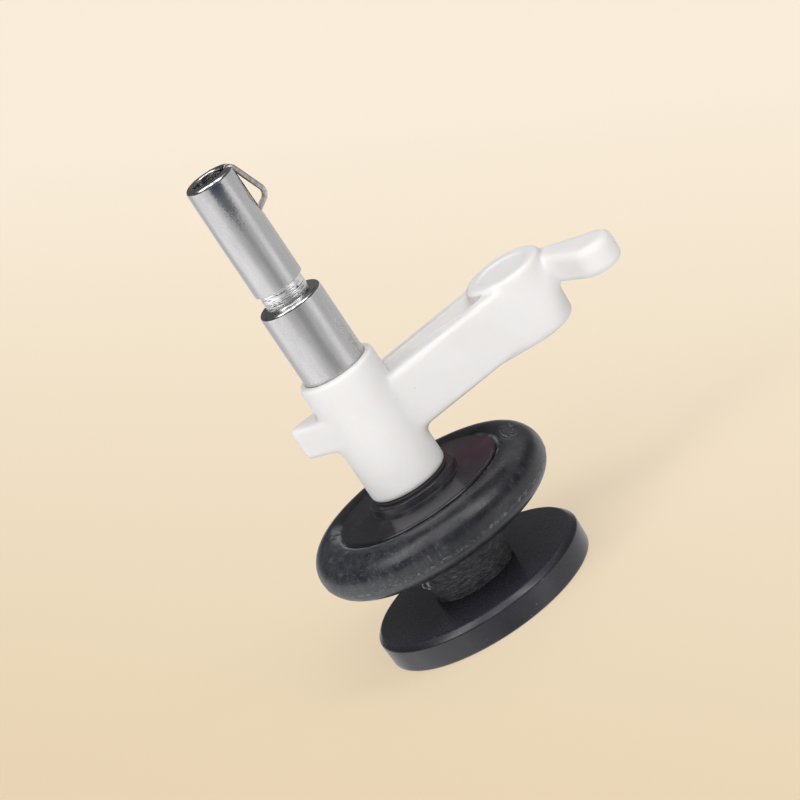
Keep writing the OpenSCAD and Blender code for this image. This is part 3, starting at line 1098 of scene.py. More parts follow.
@dataclass(frozen=True)
class TyreRubber(Finish):
    """Black rubber with a grey bloom, scuffs, the arcs of a mould that was not polished and a painted
    highlight along the near side of its inner lip.

    The arcs and the patch are placed on a plane across the tyre, whose axes are level_way and
    rising_way.
    """

    slot: Slot = Slot.BLACK_RUBBER
    name: str = "tyre_rubber"
    rubber: Colour = (0.011, 0.011, 0.0145)
    bloom: Colour = (0.165, 0.17, 0.195)
    # Pale rubbed chalk, and also the colour of the painted highlight along the lip
    chalk_and_highlight: Colour = (0.27, 0.28, 0.30)
    ridge: Colour = (0.24, 0.25, 0.27)
    scuff: Colour = (0.20, 0.21, 0.23)
    dust: Colour = (0.34, 0.34, 0.35)
    handled_dir: float = -165.0
    handled_half: Range = (10.0, 80.0)
    mm_per_degree: float = 0.21
    highlight_angles: Range = (-48.0, -22.0)
    top_z: Range = (14.8, 15.2)
    shoulder_z: Range = (13.9, 14.6)
    highlight_lip_r: Range = (10.35, 10.75)
    rubbed_r: Range = (10.5, 11.9)
    seam_z: float = 11.95
    seam_half: Range = (0.04, 0.34)
    level_way: Point = (0.955, -0.296, 0.0)
    rising_way: Point = (0.087, 0.279, 0.956)
    arcs_from: Point = (12.75, 15.2, 0.0)
    arcs_at: Point = (11.85, 14.75, 0.0)
    arcs_reach: Range = (0.7, 1.25)
    patch_at: Point = (-10.2, 15.55, 0.0)
    patch_reach: Range = (0.3, 1.35)

    def _bloom(self, s: Surface, handled: Value, cloud: Value) -> Socket:
        """Builds the mask of the grey bloom.

        Args:
            s: the material's nodes.
            handled: how near the surface is to the side that was handled, 0 to 1.
            cloud: the rubber's uneven noise.

        Returns:
            The mask, 0 to 1.
        """
        angle, radius, up = s.around(self.handled_dir)
        section = s.add("CombineXYZ", {0: s.times(angle, self.mm_per_degree), 1: radius, 2: up}).outputs[0]
        hatch = s.noise(s.stretched(section, (5.0, 0.9, 0.9)), scale=1.0, detail=4.0, roughness=0.65)
        smear = s.noise(s.stretched(s.mm, (0.5, 0.5, 2.2)), scale=1.0, detail=5.0, roughness=0.65)
        streaks = s.times(s.span(hatch, 0.5, 0.68), s.span(smear, 0.38, 0.6))
        bloom = s.span(s.math("MULTIPLY_ADD", handled, 0.13, s.times(cloud, 0.9)), 0.38, 0.80)
        bloom = s.times(bloom, s.math("MULTIPLY_ADD", streaks, 0.85, 0.15))
        crisp = s.span(s.noise(s.mm, scale=2.4, detail=5.0, roughness=0.8), 0.53, 0.64)
        crisp = s.times(crisp, s.span(handled, 0.3, 0.9))
        return s.math("MAXIMUM", bloom, s.times(crisp, 0.42))

    def _chalk_and_highlight(self, s: Surface, plane: Value, handled: Value) -> Socket:
        """Builds the mask of the painted highlight along the lip, the rubbed patch and the parting line.

        Args:
            s: the material's nodes.
            plane: the surface's place on the plane across the tyre.
            handled: how near the surface is to the side that was handled, 0 to 1.

        Returns:
            The mask, 0 to 1.
        """
        angle, radius, up = s.around(self.handled_dir)
        torn = s.noise(s.stretched(s.mm, (1.1, 1.1, 1.6)), scale=1.0, detail=5.0, roughness=0.7)
        top = s.span(up, *self.top_z)
        spots = s.math("MULTIPLY_ADD", handled, 0.6, s.span(torn, 0.4, 0.6))
        # Painted highlight: a pale line along the inner lip, only on the angles that face the camera
        lip = s.times(s.fall(radius, *self.highlight_lip_r), top, s.times(spots, s.span(angle, *self.highlight_angles)))
        rub = s.times(s.fall(radius, *self.rubbed_r), top, s.span(handled, 0.45, 0.95),
                      s.span(torn, 0.46, 0.66))
        near = s.fall(s.measure("DISTANCE", plane, self.patch_at), *self.patch_reach)
        patch = s.times(near, s.span(up, *self.shoulder_z), s.span(torn, 0.36, 0.58))
        seam = s.times(s.fall(s.gap(up, self.seam_z), *self.seam_half),
                       s.span(s.noise(s.mm, scale=1.7, detail=6.0, roughness=0.8), 0.47, 0.64))
        chalk_and_highlight = s.math("MAXIMUM", s.math("MAXIMUM", lip, seam), s.times(rub, 0.8))
        return s.math("MAXIMUM", chalk_and_highlight, patch)

    def _ridges(self, s: Surface, plane: Value) -> Socket:
        """Builds the mask of the nested arcs.

        Args:
            s: the material's nodes.
            plane: the surface's place on the plane across the tyre.

        Returns:
            The mask, 0 to 1.
        """
        near, out = (s.measure("DISTANCE", plane, at) for at in (self.arcs_at, self.arcs_from))
        out = s.math("MULTIPLY_ADD", s.noise(plane, scale=1.0, detail=2.0), 0.8, out)
        arcs = s.span(s.math("SINE", s.times(out, 21.0)), 0.1, 0.95)
        return s.times(arcs, s.span(s.noise(s.mm, scale=2.6, detail=2.0), 0.36, 0.56),
                       s.fall(near, *self.arcs_reach))

    def dress(self, s: Surface) -> None:
        """Builds the finish's nodes.

        Args:
            s: the material's nodes.
        """
        angle, radius, _ = s.around(self.handled_dir)
        level, rising = (s.measure("DOT_PRODUCT", s.mm, way) for way in (self.level_way, self.rising_way))
        plane = s.add("CombineXYZ", {0: level, 1: rising, 2: 0.0}).outputs[0]
        handled = s.fall(s.math("ABSOLUTE", angle), *self.handled_half)
        cloud = s.noise(s.mm, scale=0.5, detail=5.0, roughness=0.72)
        bloom, ridges = self._bloom(s, handled, cloud), self._ridges(s, plane)
        colour = s.over(self.rubber, bloom, 0.85, self.bloom)
        colour = s.over(colour, self._chalk_and_highlight(s, plane, handled), 0.62, self.chalk_and_highlight)
        colour = s.over(colour, ridges, 0.55, self.ridge)
        colour = s.over(colour, s.effect(Effect.SCRATCHES, Scale=0.9, Share=0.5), 0.22, self.scuff)
        colour = s.over(colour, s.effect(Effect.SPECKS, Scale=1.9, Size=0.06, Share=0.2), 0.6, self.dust)
        rough = s.span(s.math("ADD", cloud, s.times(bloom, 0.5)), 0.3, 0.9, 0.26, 0.42)
        skin = s.math("ADD", s.effect(Effect.GRAIN, Scale=4.0), s.times(cloud, 0.6))
        rings = s.math("SINE", s.times(radius, 26.0))
        s.set(Base_Color=colour, Roughness=rough,
              Normal=s.relief((skin, 0.013), (rings, 0.0012), (ridges, 0.006)))


@dataclass(frozen=True)
class HatchedBlack(Finish):
    """The sleeve's rough black wall, hatched and scratched pale."""

    slot: Slot = Slot.ROUGH_BLACK
    name: str = "hatched_black"
    mm_per_degree: float = 0.089
    black: Colour = (0.024, 0.024, 0.027)
    pale: Colour = (0.21, 0.21, 0.215)
    scratch: Colour = (0.36, 0.36, 0.37)

    def dress(self, s: Surface) -> None:
        """Builds the finish's nodes.

        Args:
            s: the material's nodes.
        """
        angle, _, up = s.around(0.0)
        wall = s.add("CombineXYZ", {0: s.times(angle, self.mm_per_degree), 1: up, 2: 0.0}).outputs[0]
        laid = (s.stretched(wall, (0.7, 9.5, 1), (0, 0, 34)), s.stretched(wall, (0.6, 8.5, 1), (0, 0, -58)))
        weave = s.math("MAXIMUM", *(s.noise(way, scale=1.0, roughness=0.6, distortion=1.5) for way in laid))
        colour = s.over(self.black, s.span(weave, 0.57, 0.64), 0.85, self.pale)
        colour = s.over(colour, s.effect(Effect.SCRATCHES, Scale=1.5, Share=0.56), 0.7, self.scratch)
        s.set(Base_Color=colour, Roughness=0.5, Normal=s.relief((weave, 0.1)))


@dataclass(frozen=True)
class PaleFlash(Finish):
    """Black plastic that has gone pale where it was torn into a thin curl."""

    slot: Slot = Slot.ROUGH_BLACK
    name: str = "pale_flash"
    black: Colour = (0.10, 0.095, 0.09)
    pale: Colour = (0.56, 0.54, 0.52)

    def dress(self, s: Surface) -> None:
        """Builds the finish's nodes.

        Args:
            s: the material's nodes.
        """
        torn = s.noise(s.mm, scale=4.0, roughness=0.6)
        s.set(Base_Color=s.mix(s.span(torn, 0.35, 0.65), self.black, self.pale), Roughness=0.5,
              Normal=s.relief((torn, 0.02)))


@dataclass(frozen=True)
class SatinBlack(Finish):
    """Black satin plastic of the disc, a little grainy, with faint handling marks and a painted bluish sheen
    on its top.
    """

    slot: Slot = Slot.BLACK_SATIN
    name: str = "satin_black"
    plastic: Colour = (0.015, 0.0145, 0.0195)
    film: Colour = (0.033, 0.031, 0.042)
    sheen_z: Range = (3.1, 3.55)
    mark: Colour = (0.17, 0.17, 0.18)
    dust: Colour = (0.30, 0.27, 0.25)

    def dress(self, s: Surface) -> None:
        """Builds the finish's nodes.

        Args:
            s: the material's nodes.
        """
        _, radius, up = s.around(0.0)
        film = s.effect(Effect.BLOTCHES, Scale=0.22, Edge=0.52, Softness=0.2)
        # Painted sheen: the film colour lies fully on the top face and upper edge, lighter and bluer than the
        # side, over faint random film blotches
        film = s.math("MULTIPLY_ADD", film, 0.3, s.times(s.span(up, *self.sheen_z), 0.7))
        colour = s.mix(film, self.plastic, self.film)
        colour = s.over(colour, s.effect(Effect.SCRATCHES, Scale=0.4, Share=0.36), 0.25, self.mark)
        colour = s.over(colour, s.effect(Effect.SPECKS, Scale=0.9, Size=0.05, Share=0.12), 0.6, self.dust)
        uneven = s.noise(s.mm, scale=1.2, detail=4.0, roughness=0.6)
        rings = s.math("SINE", s.times(radius, 9.0))
        s.set(Base_Color=colour, Roughness=s.swing(uneven, 0.22, 0.29),
              Normal=s.relief((s.effect(Effect.GRAIN, Scale=1.6), 0.0006), (rings, 0.0006)))


@dataclass(frozen=True)
class NaturalNylon(Finish):
    """Slightly yellow nylon of the thrust washers."""

    slot: Slot = Slot.WASHER_NYLON
    name: str = "natural_nylon"
    light: Colour = (0.70, 0.69, 0.64)
    dark: Colour = (0.62, 0.60, 0.54)

    def dress(self, s: Surface) -> None:
        """Builds the finish's nodes.

        Args:
            s: the material's nodes.
        """
        s.set(Base_Color=s.mix(s.noise(s.mm, scale=0.8), self.light, self.dark), Roughness=0.45,
              Normal=s.relief((s.effect(Effect.GRAIN, Scale=5.0), 0.006)))


@dataclass(frozen=True)
class ShadeDarkNylon(NaturalNylon):
    """Nylon coloured dark as painted shade, so that the gap next to the hub reads shaded."""

    name: str = "shade_dark_nylon"
    # Painted shade: the washer is coloured as dark as the shaded gap under the boss
    light: Colour = (0.050, 0.048, 0.046)
    dark: Colour = (0.030, 0.029, 0.029)


@dataclass(frozen=True)
class StampedSteel(Finish):
    """Bright stamped steel of the disc's washer."""

    slot: Slot = Slot.BRIGHT_STEEL
    name: str = "stamped_steel"
    light: Colour = (0.62, 0.62, 0.63)
    dark: Colour = (0.45, 0.45, 0.46)

    def dress(self, s: Surface) -> None:
        """Builds the finish's nodes.

        Args:
            s: the material's nodes.
        """
        s.set(Base_Color=s.mix(s.noise(s.mm, scale=1.4, detail=4.0), self.light, self.dark), Metallic=1.0,
              Roughness=s.swing(s.effect(Effect.GRAIN, Scale=3.0), 0.28, 0.42),
              Normal=s.relief((s.effect(Effect.SCRATCHES, Scale=1.4, Share=0.5), 0.004)))


@dataclass(frozen=True)
class OxideSteel(StampedSteel):
    """Dark oxide on the spring steel clip."""

    slot: Slot = Slot.DARK_STEEL
    name: str = "oxide_steel"
    light: Colour = (0.16, 0.16, 0.17)
    dark: Colour = (0.09, 0.09, 0.10)


# ---- Sub-assemblies ----


@dataclass
class Spindle:
    """The plated spindle, from its shank to the slotted tip."""

    shank_z: float = 0.25
    shank_r: float = 2.5
    flat_d: float = 2.0
    groove_low: float = 0.75
    groove_high: float = 1.35
    groove_r: float = 2.0
    journal_z: float = 16.9
    journal_r: float = 3.0
    shoulder_z: float = 30.6
    shoulder_r: float = 3.86
    neck_z: float = 42.25
    neck_r: float = 2.65
    seat_z: float = 44.3
    seat_r: float = 3.0
    body_top: float = 51.6
    top_z: float = 58.6
    tip_r: float = 2.95
    bore_r: float = 1.95
    bore_z: float = 45.1
    bore_cone: float = 0.6
    anchor_dir: float = -16.0
    anchor_z: float = 46.1
    anchor_x: float = 0.95
    anchor_r: float = 0.375
    slot_z: float = 52.45
    slot_w: float = 1.45
    slot_dir: float = -21.0
    throat_z: Range = (51.5, 52.05)
    throat_w: float = 0.9
    throat_dir: float = anchor_dir
    cut_r: float = 5.0
    tip_rim: float = 0.46
    shoulder_rim: float = 0.40
    lap: float = 0.05

    def _profile(self) -> list[Corner]:
        """Lists the corners of the turned profile.

        Returns:
            The corners, from the shank's foot to the bottom of the bore.
        """
        return [
            Corner(0, self.shank_z), Corner(self.shank_r, self.shank_z, 0.25, 3),
            Corner(self.shank_r, self.groove_low), Corner(self.groove_r, self.groove_low),
            Corner(self.groove_r, self.groove_high), Corner(self.shank_r, self.groove_high),
            Corner(self.shank_r, self.journal_z), Corner(self.journal_r, self.journal_z),
            Corner(self.journal_r, self.shoulder_z), Corner(self.shoulder_r, self.shoulder_z, 0.15, 3),
            Corner(self.shoulder_r, self.neck_z, 0.42, 9), Corner(self.neck_r, self.neck_z, 0.12, 4),
            Corner(self.neck_r, self.seat_z, 0.1, 3), Corner(self.seat_r, self.seat_z, 0.12, 4),
            Corner(self.seat_r, self.body_top), Corner(self.tip_r, self.top_z, 0.50, 10),
            Corner(self.bore_r, self.top_z, 0.26, 7), Corner(self.bore_r, self.bore_z),
            Corner(0, self.bore_z - self.bore_cone)]

    def _cutters(self) -> list[BMesh]:
        """Makes the cutters for the slot, its narrow throat, the cross hole and the driving flat.

        Returns:
            The cutters.
        """
        reach, over = self.cut_r, self.top_z + OVER
        half = self.slot_w / 2
        slot = block((0, -half, self.slot_z), (reach, half, over))
        half, (foot, lip) = self.throat_w / 2, self.throat_z
        throat = hulled([block((0, -half, foot), (self.bore_r, half, over)),
                         block((self.tip_r, -half, lip), (reach, half, over))])
        hole = rod((self.anchor_x, 0, self.anchor_z), (self.anchor_x, reach + OVER, self.anchor_z),
                   self.anchor_r)
        flat = block((self.flat_d, OVER - reach, -OVER), (reach, reach - OVER, self.journal_z))
        return [turn_about_z(slot, self.slot_dir), turn_about_z(throat, self.throat_dir),
                turn_about_z(hole, self.anchor_dir), flat]

    def _mark(self, bm: BMesh) -> None:
        """Gives the rims, the neck and the bore their own finishes.

        Args:
            bm: the spindle's shape.
        """
        rim, torn, bore = 1, 2, 3
        shoulder, neck, seat = self.neck_z - self.shoulder_rim, self.neck_z + 0.02, self.seat_z + self.lap
        paint(bm, rim, lambda at: at.z > self.top_z - self.tip_rim and from_axis(at) > self.bore_r - self.lap)
        paint(bm, rim, lambda at: shoulder < at.z < neck and from_axis(at) > self.neck_r)
        paint(bm, torn, lambda at: neck < at.z < seat and from_axis(at) < self.seat_r)
        paint(bm, bore, lambda at: self.bore_z - OVER < at.z < self.top_z - 0.30
              and from_axis(at) < self.seat_r - 0.08 and not self.neck_z < at.z < seat)

    def build(self) -> None:
        """Turns the spindle and cuts it."""
        bm = carved(turned(self._profile()), self._cutters())
        bmesh.ops.recalc_face_normals(bm, faces=bm.faces[:])
        self._mark(bm)
        finishes = [SatinPlating(), PolishedRim(), ToolMarked(), DarkBore()]
        finish_piece("spindle_turning", bm, Body.ROTOR, finishes, ["spindle"], sharp=30)


@dataclass
class BobbinSpring:
    """The wire spring that holds the bobbin on the tip."""

    wire_r: float = 0.325
    bends: tuple[float, ...] = (0.75, 0.75, 1.15, 0.75, 0.75)
    burr: float = 0.08
    slot_dir: float = Spindle.anchor_dir
    top_z: float = Spindle.top_z
    hook_x: float = 2.85
    hook_drop: float = 0.425
    hook_w: float = 0.75
    hook_l: float = 1.3
    elbow_x: float = 4.6
    elbow_drop: float = 5.0
    leg_x: float = Spindle.anchor_x
    slope: float = 0.63
    anchor_z: float = Spindle.anchor_z
    foot_l: float = 2.64

    def _corners(self) -> list[Vector]:
        """Finds the corners of the wire's middle line.

        Returns:
            The corners, from the hook to the foot.
        """
        hook_z = self.top_z - self.hook_drop
        elbow_z = self.top_z - self.elbow_drop
        leg_z = elbow_z - self.slope * (self.elbow_x - self.leg_x)
        inner = self.hook_x - self.hook_w
        return [Vector(p) for p in (
            (inner, 0, hook_z - self.hook_l), (inner, 0, hook_z), (self.hook_x, 0, hook_z),
            (self.elbow_x, 0, elbow_z), (self.leg_x, 0, leg_z), (self.leg_x, 0, self.anchor_z),
            (self.leg_x, self.foot_l, self.anchor_z))]

    def build(self) -> None:
        """Draws and bends the wire."""
        bm = bent_along(self._corners(), self.wire_r, self.bends).closed(self.burr)
        turn_about_z(bm, self.slot_dir)
        finish_piece("bobbin_spring_wire", bm, Body.SPRING, [DrawnWire()], ["bobbin_spring"])


@dataclass
class LeverArm:
    """The white moulded arm: spindle boss, beam, pivot boss, finger and lug."""

    boss_z: float = 17.2
    boss_r: float = 4.73
    boss_top: float = 32.85
    bore_r: float = 3.05
    mouth_r: float = 3.55
    mouth_l: float = 0.3
    counterbore_r: float = 3.87
    counterbore_l: float = 2.6
    chamfer: float = 0.06
    pivot_x: float = 22.5
    pivot_z: float = 21.0
    pivot_top: float = 29.65
    pivot_r: float = 4.8
    pivot_foot_r: float = 4.4
    pin_r: float = 2.5
    pin_l: float = 7.2
    pin_mouth_r: float = 3.8
    recess_r: float = 3.15
    recess_l: float = 0.2
    skirt_l: float = 7.5
    skirt_h: float = 1.5
    beam_z: float = 21.85
    beam_top: float = 29.1
    beam_half: Range = (3.65, 4.05)
    beam_round: float = 0.6
    channel_half: float = 2.1
    channel_depths: Range = (0.05, 1.7)
    finger_z: float = 25.1
    finger_top: float = 28.8
    finger_reach: float = 11.35
    finger_dir: float = -51.7
    finger_r: float = 2.75
    finger_root_reach: float = 3.8
    finger_root_dir: float = 28.0
    finger_root_r: float = 1.05
    lug_z: float = 24.75
    lug_top: float = 28.8
    lug_reach: float = 7.75
    lug_dir: float = 145.0
    lug_r: float = 0.8
    lug_root_r: float = 0.95
    lug_spread: float = 52.0
    lap: float = 0.02
    boss_fillet: Range = (-0.4, 2.6)
    pivot_fillet: Range = (-0.7, 2.4)
    voxel: float = 0.19
    fill_passes: int = 110
    smooth_passes: int = 5

    def _boss(self) -> BMesh:
        """Makes the boss that the spindle turns in, and returns it."""
        return turned([Corner(0, self.boss_z), Corner(self.boss_r, self.boss_z, 0.6, 6),
                       Corner(self.boss_r, self.boss_top, 0.45, 5), Corner(0, self.boss_top)], steps=96)

    def _pivot(self) -> BMesh:
        """Makes the pivot boss.

        Returns:
            The boss.
        """
        bm = turned([Corner(0, self.pivot_z), Corner(self.pivot_foot_r, self.pivot_z, 0.8, 6),
                     Corner(self.pivot_r, self.pivot_top, 0.5, 5), Corner(0, self.pivot_top)], steps=96)
        return moved(bm, self.pivot_x)

    def _skirt(self) -> BMesh:
        """Makes the slope that carries the pivot boss's foot into the beam's underside.

        Returns:
            The slope.
        """
        top = self.beam_z + self.skirt_h
        foot = self._pebble((self.pivot_x, 0), self.pivot_foot_r - 0.1, self.pivot_z, top, 0.7)
        x, half = self.pivot_x - self.skirt_l, self.beam_half[0] - 0.25
        return hulled([foot, block((x, -half, self.beam_z + 0.05), (x + 0.3, half, top))])

    def _ball(self, at: Sequence[float]) -> BMesh:
        """Makes one rounded corner of the beam.

        Args:
            at: its middle.

        Returns:
            The ball.
        """
        bm = bmesh.new()
        bmesh.ops.create_icosphere(bm, subdivisions=3, radius=self.beam_round,
                                   matrix=Matrix.Translation(at))
        return bm

    def _beam(self) -> BMesh:
        """Makes the beam.

        Returns:
            The beam, which widens from one boss to the other.
        """
        inset = self.beam_round
        return hulled([self._ball((x, side * (half - inset), z))
                       for x, half in zip((0.0, self.pivot_x), self.beam_half)
                       for side in (-1, 1)
                       for z in (self.beam_z + inset, self.beam_top - inset)])

    def _channel(self) -> BMesh:
        """Makes the cutter for the channel along the beam's top, which ends at both bosses.

        Returns:
            The cutter.
        """
        half, top = self.channel_half, self.beam_top
        wedge = hulled([block((x, -half, top - depth), (x + 0.01, half, top + 2 * OVER))
                        for x, depth in zip((0.0, self.pivot_x), self.channel_depths)])
        ends = [rod((x, 0, self.pivot_z), (x, 0, self.boss_top), r, 128)
                for x, r in ((0.0, self.boss_r + self.lap), (self.pivot_x, self.pivot_r - self.lap))]
        return carved(wedge, ends)

    @staticmethod
    def _pebble(at: Sequence[float], r: float, low: float, high: float, edge: float) -> BMesh:
        """Makes a flat disc with rounded edges.

        Args:
            at: the X and Y of its middle.
            r: its radius.
            low: the height of its underside.
            high: the height of its top.
            edge: how far its edges are rounded.

        Returns:
            The disc.
        """
        return moved(turned([Corner(0, low), Corner(r, low, edge, 6), Corner(r, high, edge, 6),
                             Corner(0, high)], steps=32), *at)

    def _finger(self) -> BMesh:
        """Makes the finger that the hand or the machine's latch pushes.

        Returns:
            The finger.
        """
        low, high = self.finger_z, self.finger_top
        root = polar(self.finger_root_reach, self.finger_root_dir, self.pivot_x)
        tip = polar(self.finger_reach, self.finger_dir, self.pivot_x)
        return hulled([self._pebble(root, self.finger_root_r, low, high, 0.8),
                       self._pebble(tip, self.finger_r, low, high, 0.95)])

    def _lug(self) -> BMesh:
        """Makes the short lug on the other side of the spindle boss.

        Returns:
            The lug.
        """
        inside = self.boss_r - self.lug_root_r
        ends = [(polar(self.lug_reach, self.lug_dir), self.lug_r)]
        ends += [(polar(inside, self.lug_dir + side * self.lug_spread), self.lug_root_r) for side in (-1, 1)]
        return hulled([self._pebble(at, r, self.lug_z, self.lug_top, 0.5) for at, r in ends])

    def _inner_corner(self, at: Vector) -> bool:
        """Tells whether a point is near a corner where two walls of the arm meet.

        Args:
            at: the point.

        Returns:
            Whether a fillet may reach it.
        """
        on_top = abs(at.y) < self.beam_half[1] and at.z > self.beam_top - self.beam_round
        walls = ((0.0, self.boss_r, self.boss_fillet), (self.pivot_x, self.pivot_r, self.pivot_fillet))
        near = any(low < from_axis(at, x) - r < high for x, r, (low, high) in walls)
        return near and not on_top and self.pivot_z - 1 < at.z < self.boss_top - 1.5

    def _fill_corners(self, bm: BMesh) -> None:
        """Fills the inner corners with smooth fillets, and takes nothing off the rest.

        Args:
            bm: the arm's shape.
        """
        near = [v for v in bm.verts if self._inner_corner(v.co)]
        for step in range(self.fill_passes):
            if step % 4 == 0:
                bm.normal_update()
            before = [(v.co.copy(), v.normal.copy()) for v in near]
            smoothed(bm, near)
            for vert, (old, normal) in zip(near, before):
                if (vert.co - old).dot(normal) < 0:
                    vert.co = old

    def _bores(self) -> list[BMesh]:
        """Makes the cutters for the bores, the recess above the pivot and the channel.

        Returns:
            The cutters.
        """
        low, top, wide = self.boss_z, self.boss_top, self.counterbore_r
        journal = turned([
            Corner(0, low - OVER), Corner(self.mouth_r, low - OVER), Corner(self.mouth_r, low),
            Corner(self.bore_r, low + self.mouth_l), Corner(self.bore_r, top - self.counterbore_l),
            Corner(wide, top - self.counterbore_l), Corner(wide, top - self.chamfer),
            Corner(wide + 2 * self.chamfer, top + self.chamfer), Corner(wide + 2 * self.chamfer, top + OVER),
            Corner(0, top + OVER)], steps=128)
        low = self.pivot_z
        pin = turned([Corner(0, low - OVER), Corner(self.pin_mouth_r, low - OVER),
                      Corner(self.pin_r, low + self.mouth_l), Corner(self.pin_r, low + self.pin_l),
                      Corner(0, low + self.pin_l)], steps=96)
        top, wide = self.pivot_top, self.recess_r
        recess = turned([Corner(0, top - self.recess_l), Corner(wide - 0.25, top - self.recess_l, 0.2, 5),
                         Corner(wide, top, 0.12, 5), Corner(wide + 0.8, top + 0.3),
                         Corner(0, top + 0.3)], steps=128)
        return [journal, moved(pin, self.pivot_x), moved(recess, self.pivot_x), self._channel()]

    def build(self) -> None:
        """Fuses the arm's shapes, blends them and cuts the bores."""
        parts = [self._boss(), self._pivot(), self._skirt(), self._beam(), self._finger(), self._lug()]
        bm = fused(gathered(parts), self.voxel)
        self._fill_corners(bm)
        for _ in range(self.smooth_passes):
            smoothed(bm, bm.verts[:])
        bm = carved(bm, self._bores())
        finish_piece("lever_arm_moulding", bm, Body.LEVER, [WhiteMoulding()], ["lever_arm"], sharp=40)


@dataclass(frozen=True)
class Bead:
    """A low ridge or groove round the tyre.

    Its place and half width are angles round the tyre's section, in degrees.
    """

    place: float
    half: float
    height: float


@dataclass
class DriveStack:
    """The hub, its tyre, the sleeve and the disc that the spindle's shank carries."""

    bore_r: float = Spindle.shank_r + 0.02
    hub_z: float = 9.9
    flange_r: float = 10.1
    flange_l: float = 0.5
    lip_w: float = 0.7
    groove_r: Range = (8.86, 8.83)
    groove_l: float = 1.7
    collar_z: float = 15.75
    collar_r: float = 5.42
    collar_foot_r: float = 5.5
    dish: float = 0.24
    hub_top: float = Spindle.journal_z
    tyre_mid_r: float = 11.75
    tyre_r: float = 2.9
    beads: tuple[Bead, ...] = (Bead(118.5, 2.2, 0.09), Bead(-18.0, 1.8, -0.05), Bead(-15.0, 1.5, 0.035))
    sleeve_z: float = 3.6
    sleeve_r: float = 5.1
    disc_r: float = 13.06
    disc_draft: float = 0.12
    disc_slope: float = 0.7
    recess_r: float = 5.2
    recess_l: float = 1.7

    def _hub(self) -> None:
        """Turns the hub, with its collar, its stepped flange and its groove."""
        low, top, wide = self.hub_z, self.collar_z, self.flange_r
        bm = turned([
            Corner(self.bore_r, low), Corner(wide, low, 0.3, 5), Corner(wide, low + self.flange_l),
            Corner(self.groove_r[0], low + self.groove_l), Corner(self.groove_r[1], top - self.groove_l),
            Corner(wide, top - self.flange_l), Corner(wide, top, 0.34, 8),
            Corner(wide - self.lip_w, top, 0.2, 4), Corner(self.collar_foot_r, top + self.dish, 0.06, 4),
            Corner(self.collar_r, self.hub_top, 0.14, 6), Corner(self.bore_r, self.hub_top)], closed=True)
        finish_piece("drive_hub_moulding", bm, Body.ROTOR, [GlossBlack()], ["drive_hub"], sharp=32)

    def _tyre(self) -> None:
        """Spins the tyre's round section, with the mould's parting line on its outside."""
        middle = Vector((self.tyre_mid_r, 0, (self.hub_z + self.collar_z) / 2))
        bm = bmesh.new()
        bmesh.ops.create_circle(bm, cap_ends=False, radius=self.tyre_r, segments=144,
                                matrix=Matrix.Translation(middle) @ Matrix.Rotation(math.pi / 2, 4, "X"))
        for vert in bm.verts:
            out = (vert.co - middle).normalized()
            at = math.degrees(math.atan2(out.z, out.x))
            vert.co += out * sum(bead.height * math.exp(-((at - bead.place) / bead.half) ** 2)
                                 for bead in self.beads)
        spin_round(bm, 240)
        finish_piece("friction_tyre_rubber", bm, Body.ROTOR, [TyreRubber()], ["friction_tyre"])

    def _sleeve(self) -> None:
        """Turns the rough sleeve."""
        low, high = self.sleeve_z, self.hub_z
        bm = turned([Corner(self.bore_r, low), Corner(self.sleeve_r, low, 0.12, 3),
                     Corner(self.sleeve_r, high, 0.12, 3), Corner(self.bore_r, high)], closed=True)
        finish_piece("spacer_sleeve_tube", bm, Body.ROTOR, [HatchedBlack()], ["spacer_sleeve"])

    def _disc(self) -> None:
        """Turns the disc, with the recess that hides the clip."""
        wide, top = self.disc_r, self.sleeve_z
        bm = turned([
            Corner(self.bore_r, self.recess_l), Corner(self.recess_r, self.recess_l, 0.1, 3),
            Corner(self.recess_r, 0, 0.1, 3), Corner(wide - self.disc_draft, 0, 0.35, 5),
            Corner(wide, top - self.disc_slope, 0.14, 4), Corner(wide - self.disc_slope, top, 0.2, 5),
            Corner(self.bore_r, top)], closed=True)
        finish_piece("bottom_disc_moulding", bm, Body.ROTOR, [SatinBlack()], ["bottom_disc"])

    def build(self) -> None:
        """Builds the stack from the hub down."""
        for piece in (self._hub, self._tyre, self._sleeve, self._disc):
            piece()


@dataclass
class MouldingCurl:
    """The thin curl of plastic left on the sleeve's wall by the cutter.

    A point of its route is how far it stands off the wall, how far it lies round it and its rise.
    """

    wall_r: float = DriveStack.sleeve_r
    height: float = 6.9
    towards: float = -166.0
    strand_r: float = 0.09
    bend_r: float = 0.3
    burr: float = 0.02
    route: tuple[Point, ...] = (
        (-0.2, 0.0, 0.0), (0.5, 0.15, 0.3), (0.95, 0.4, -0.25), (0.4, 0.1, -0.65),
        (0.12, -0.45, -0.25), (0.6, -0.65, 0.25), (1.05, -0.5, -0.2), (0.6, -0.1, -0.9))

    def build(self) -> None:
        """Bends the curl and turns it to its place."""
        points = [Vector((self.wall_r + off, side, self.height + rise)) for off, side, rise in self.route]
        bm = bent_along(points, self.strand_r, [self.bend_r] * len(points)).closed(self.burr)
        finish_piece("moulding_curl", turn_about_z(bm, self.towards), Body.ROTOR, [PaleFlash()])


@dataclass(frozen=True)
class Washer:
    """A flat washer with rounded edges."""

    name: str
    node: str
    body: Body
    finish: Finish
    inner: float
    outer: float
    low: float
    high: float

    def build(self) -> None:
        """Turns the washer."""
        edge = (self.high - self.low) / 5
        bm = turned([Corner(self.inner, self.low, edge, 3), Corner(self.outer, self.low, edge, 3),
                     Corner(self.outer, self.high, edge, 3), Corner(self.inner, self.high, edge, 3)],
                    closed=True, steps=128)
        finish_piece(self.name, bm, self.body, [self.finish], [self.node])


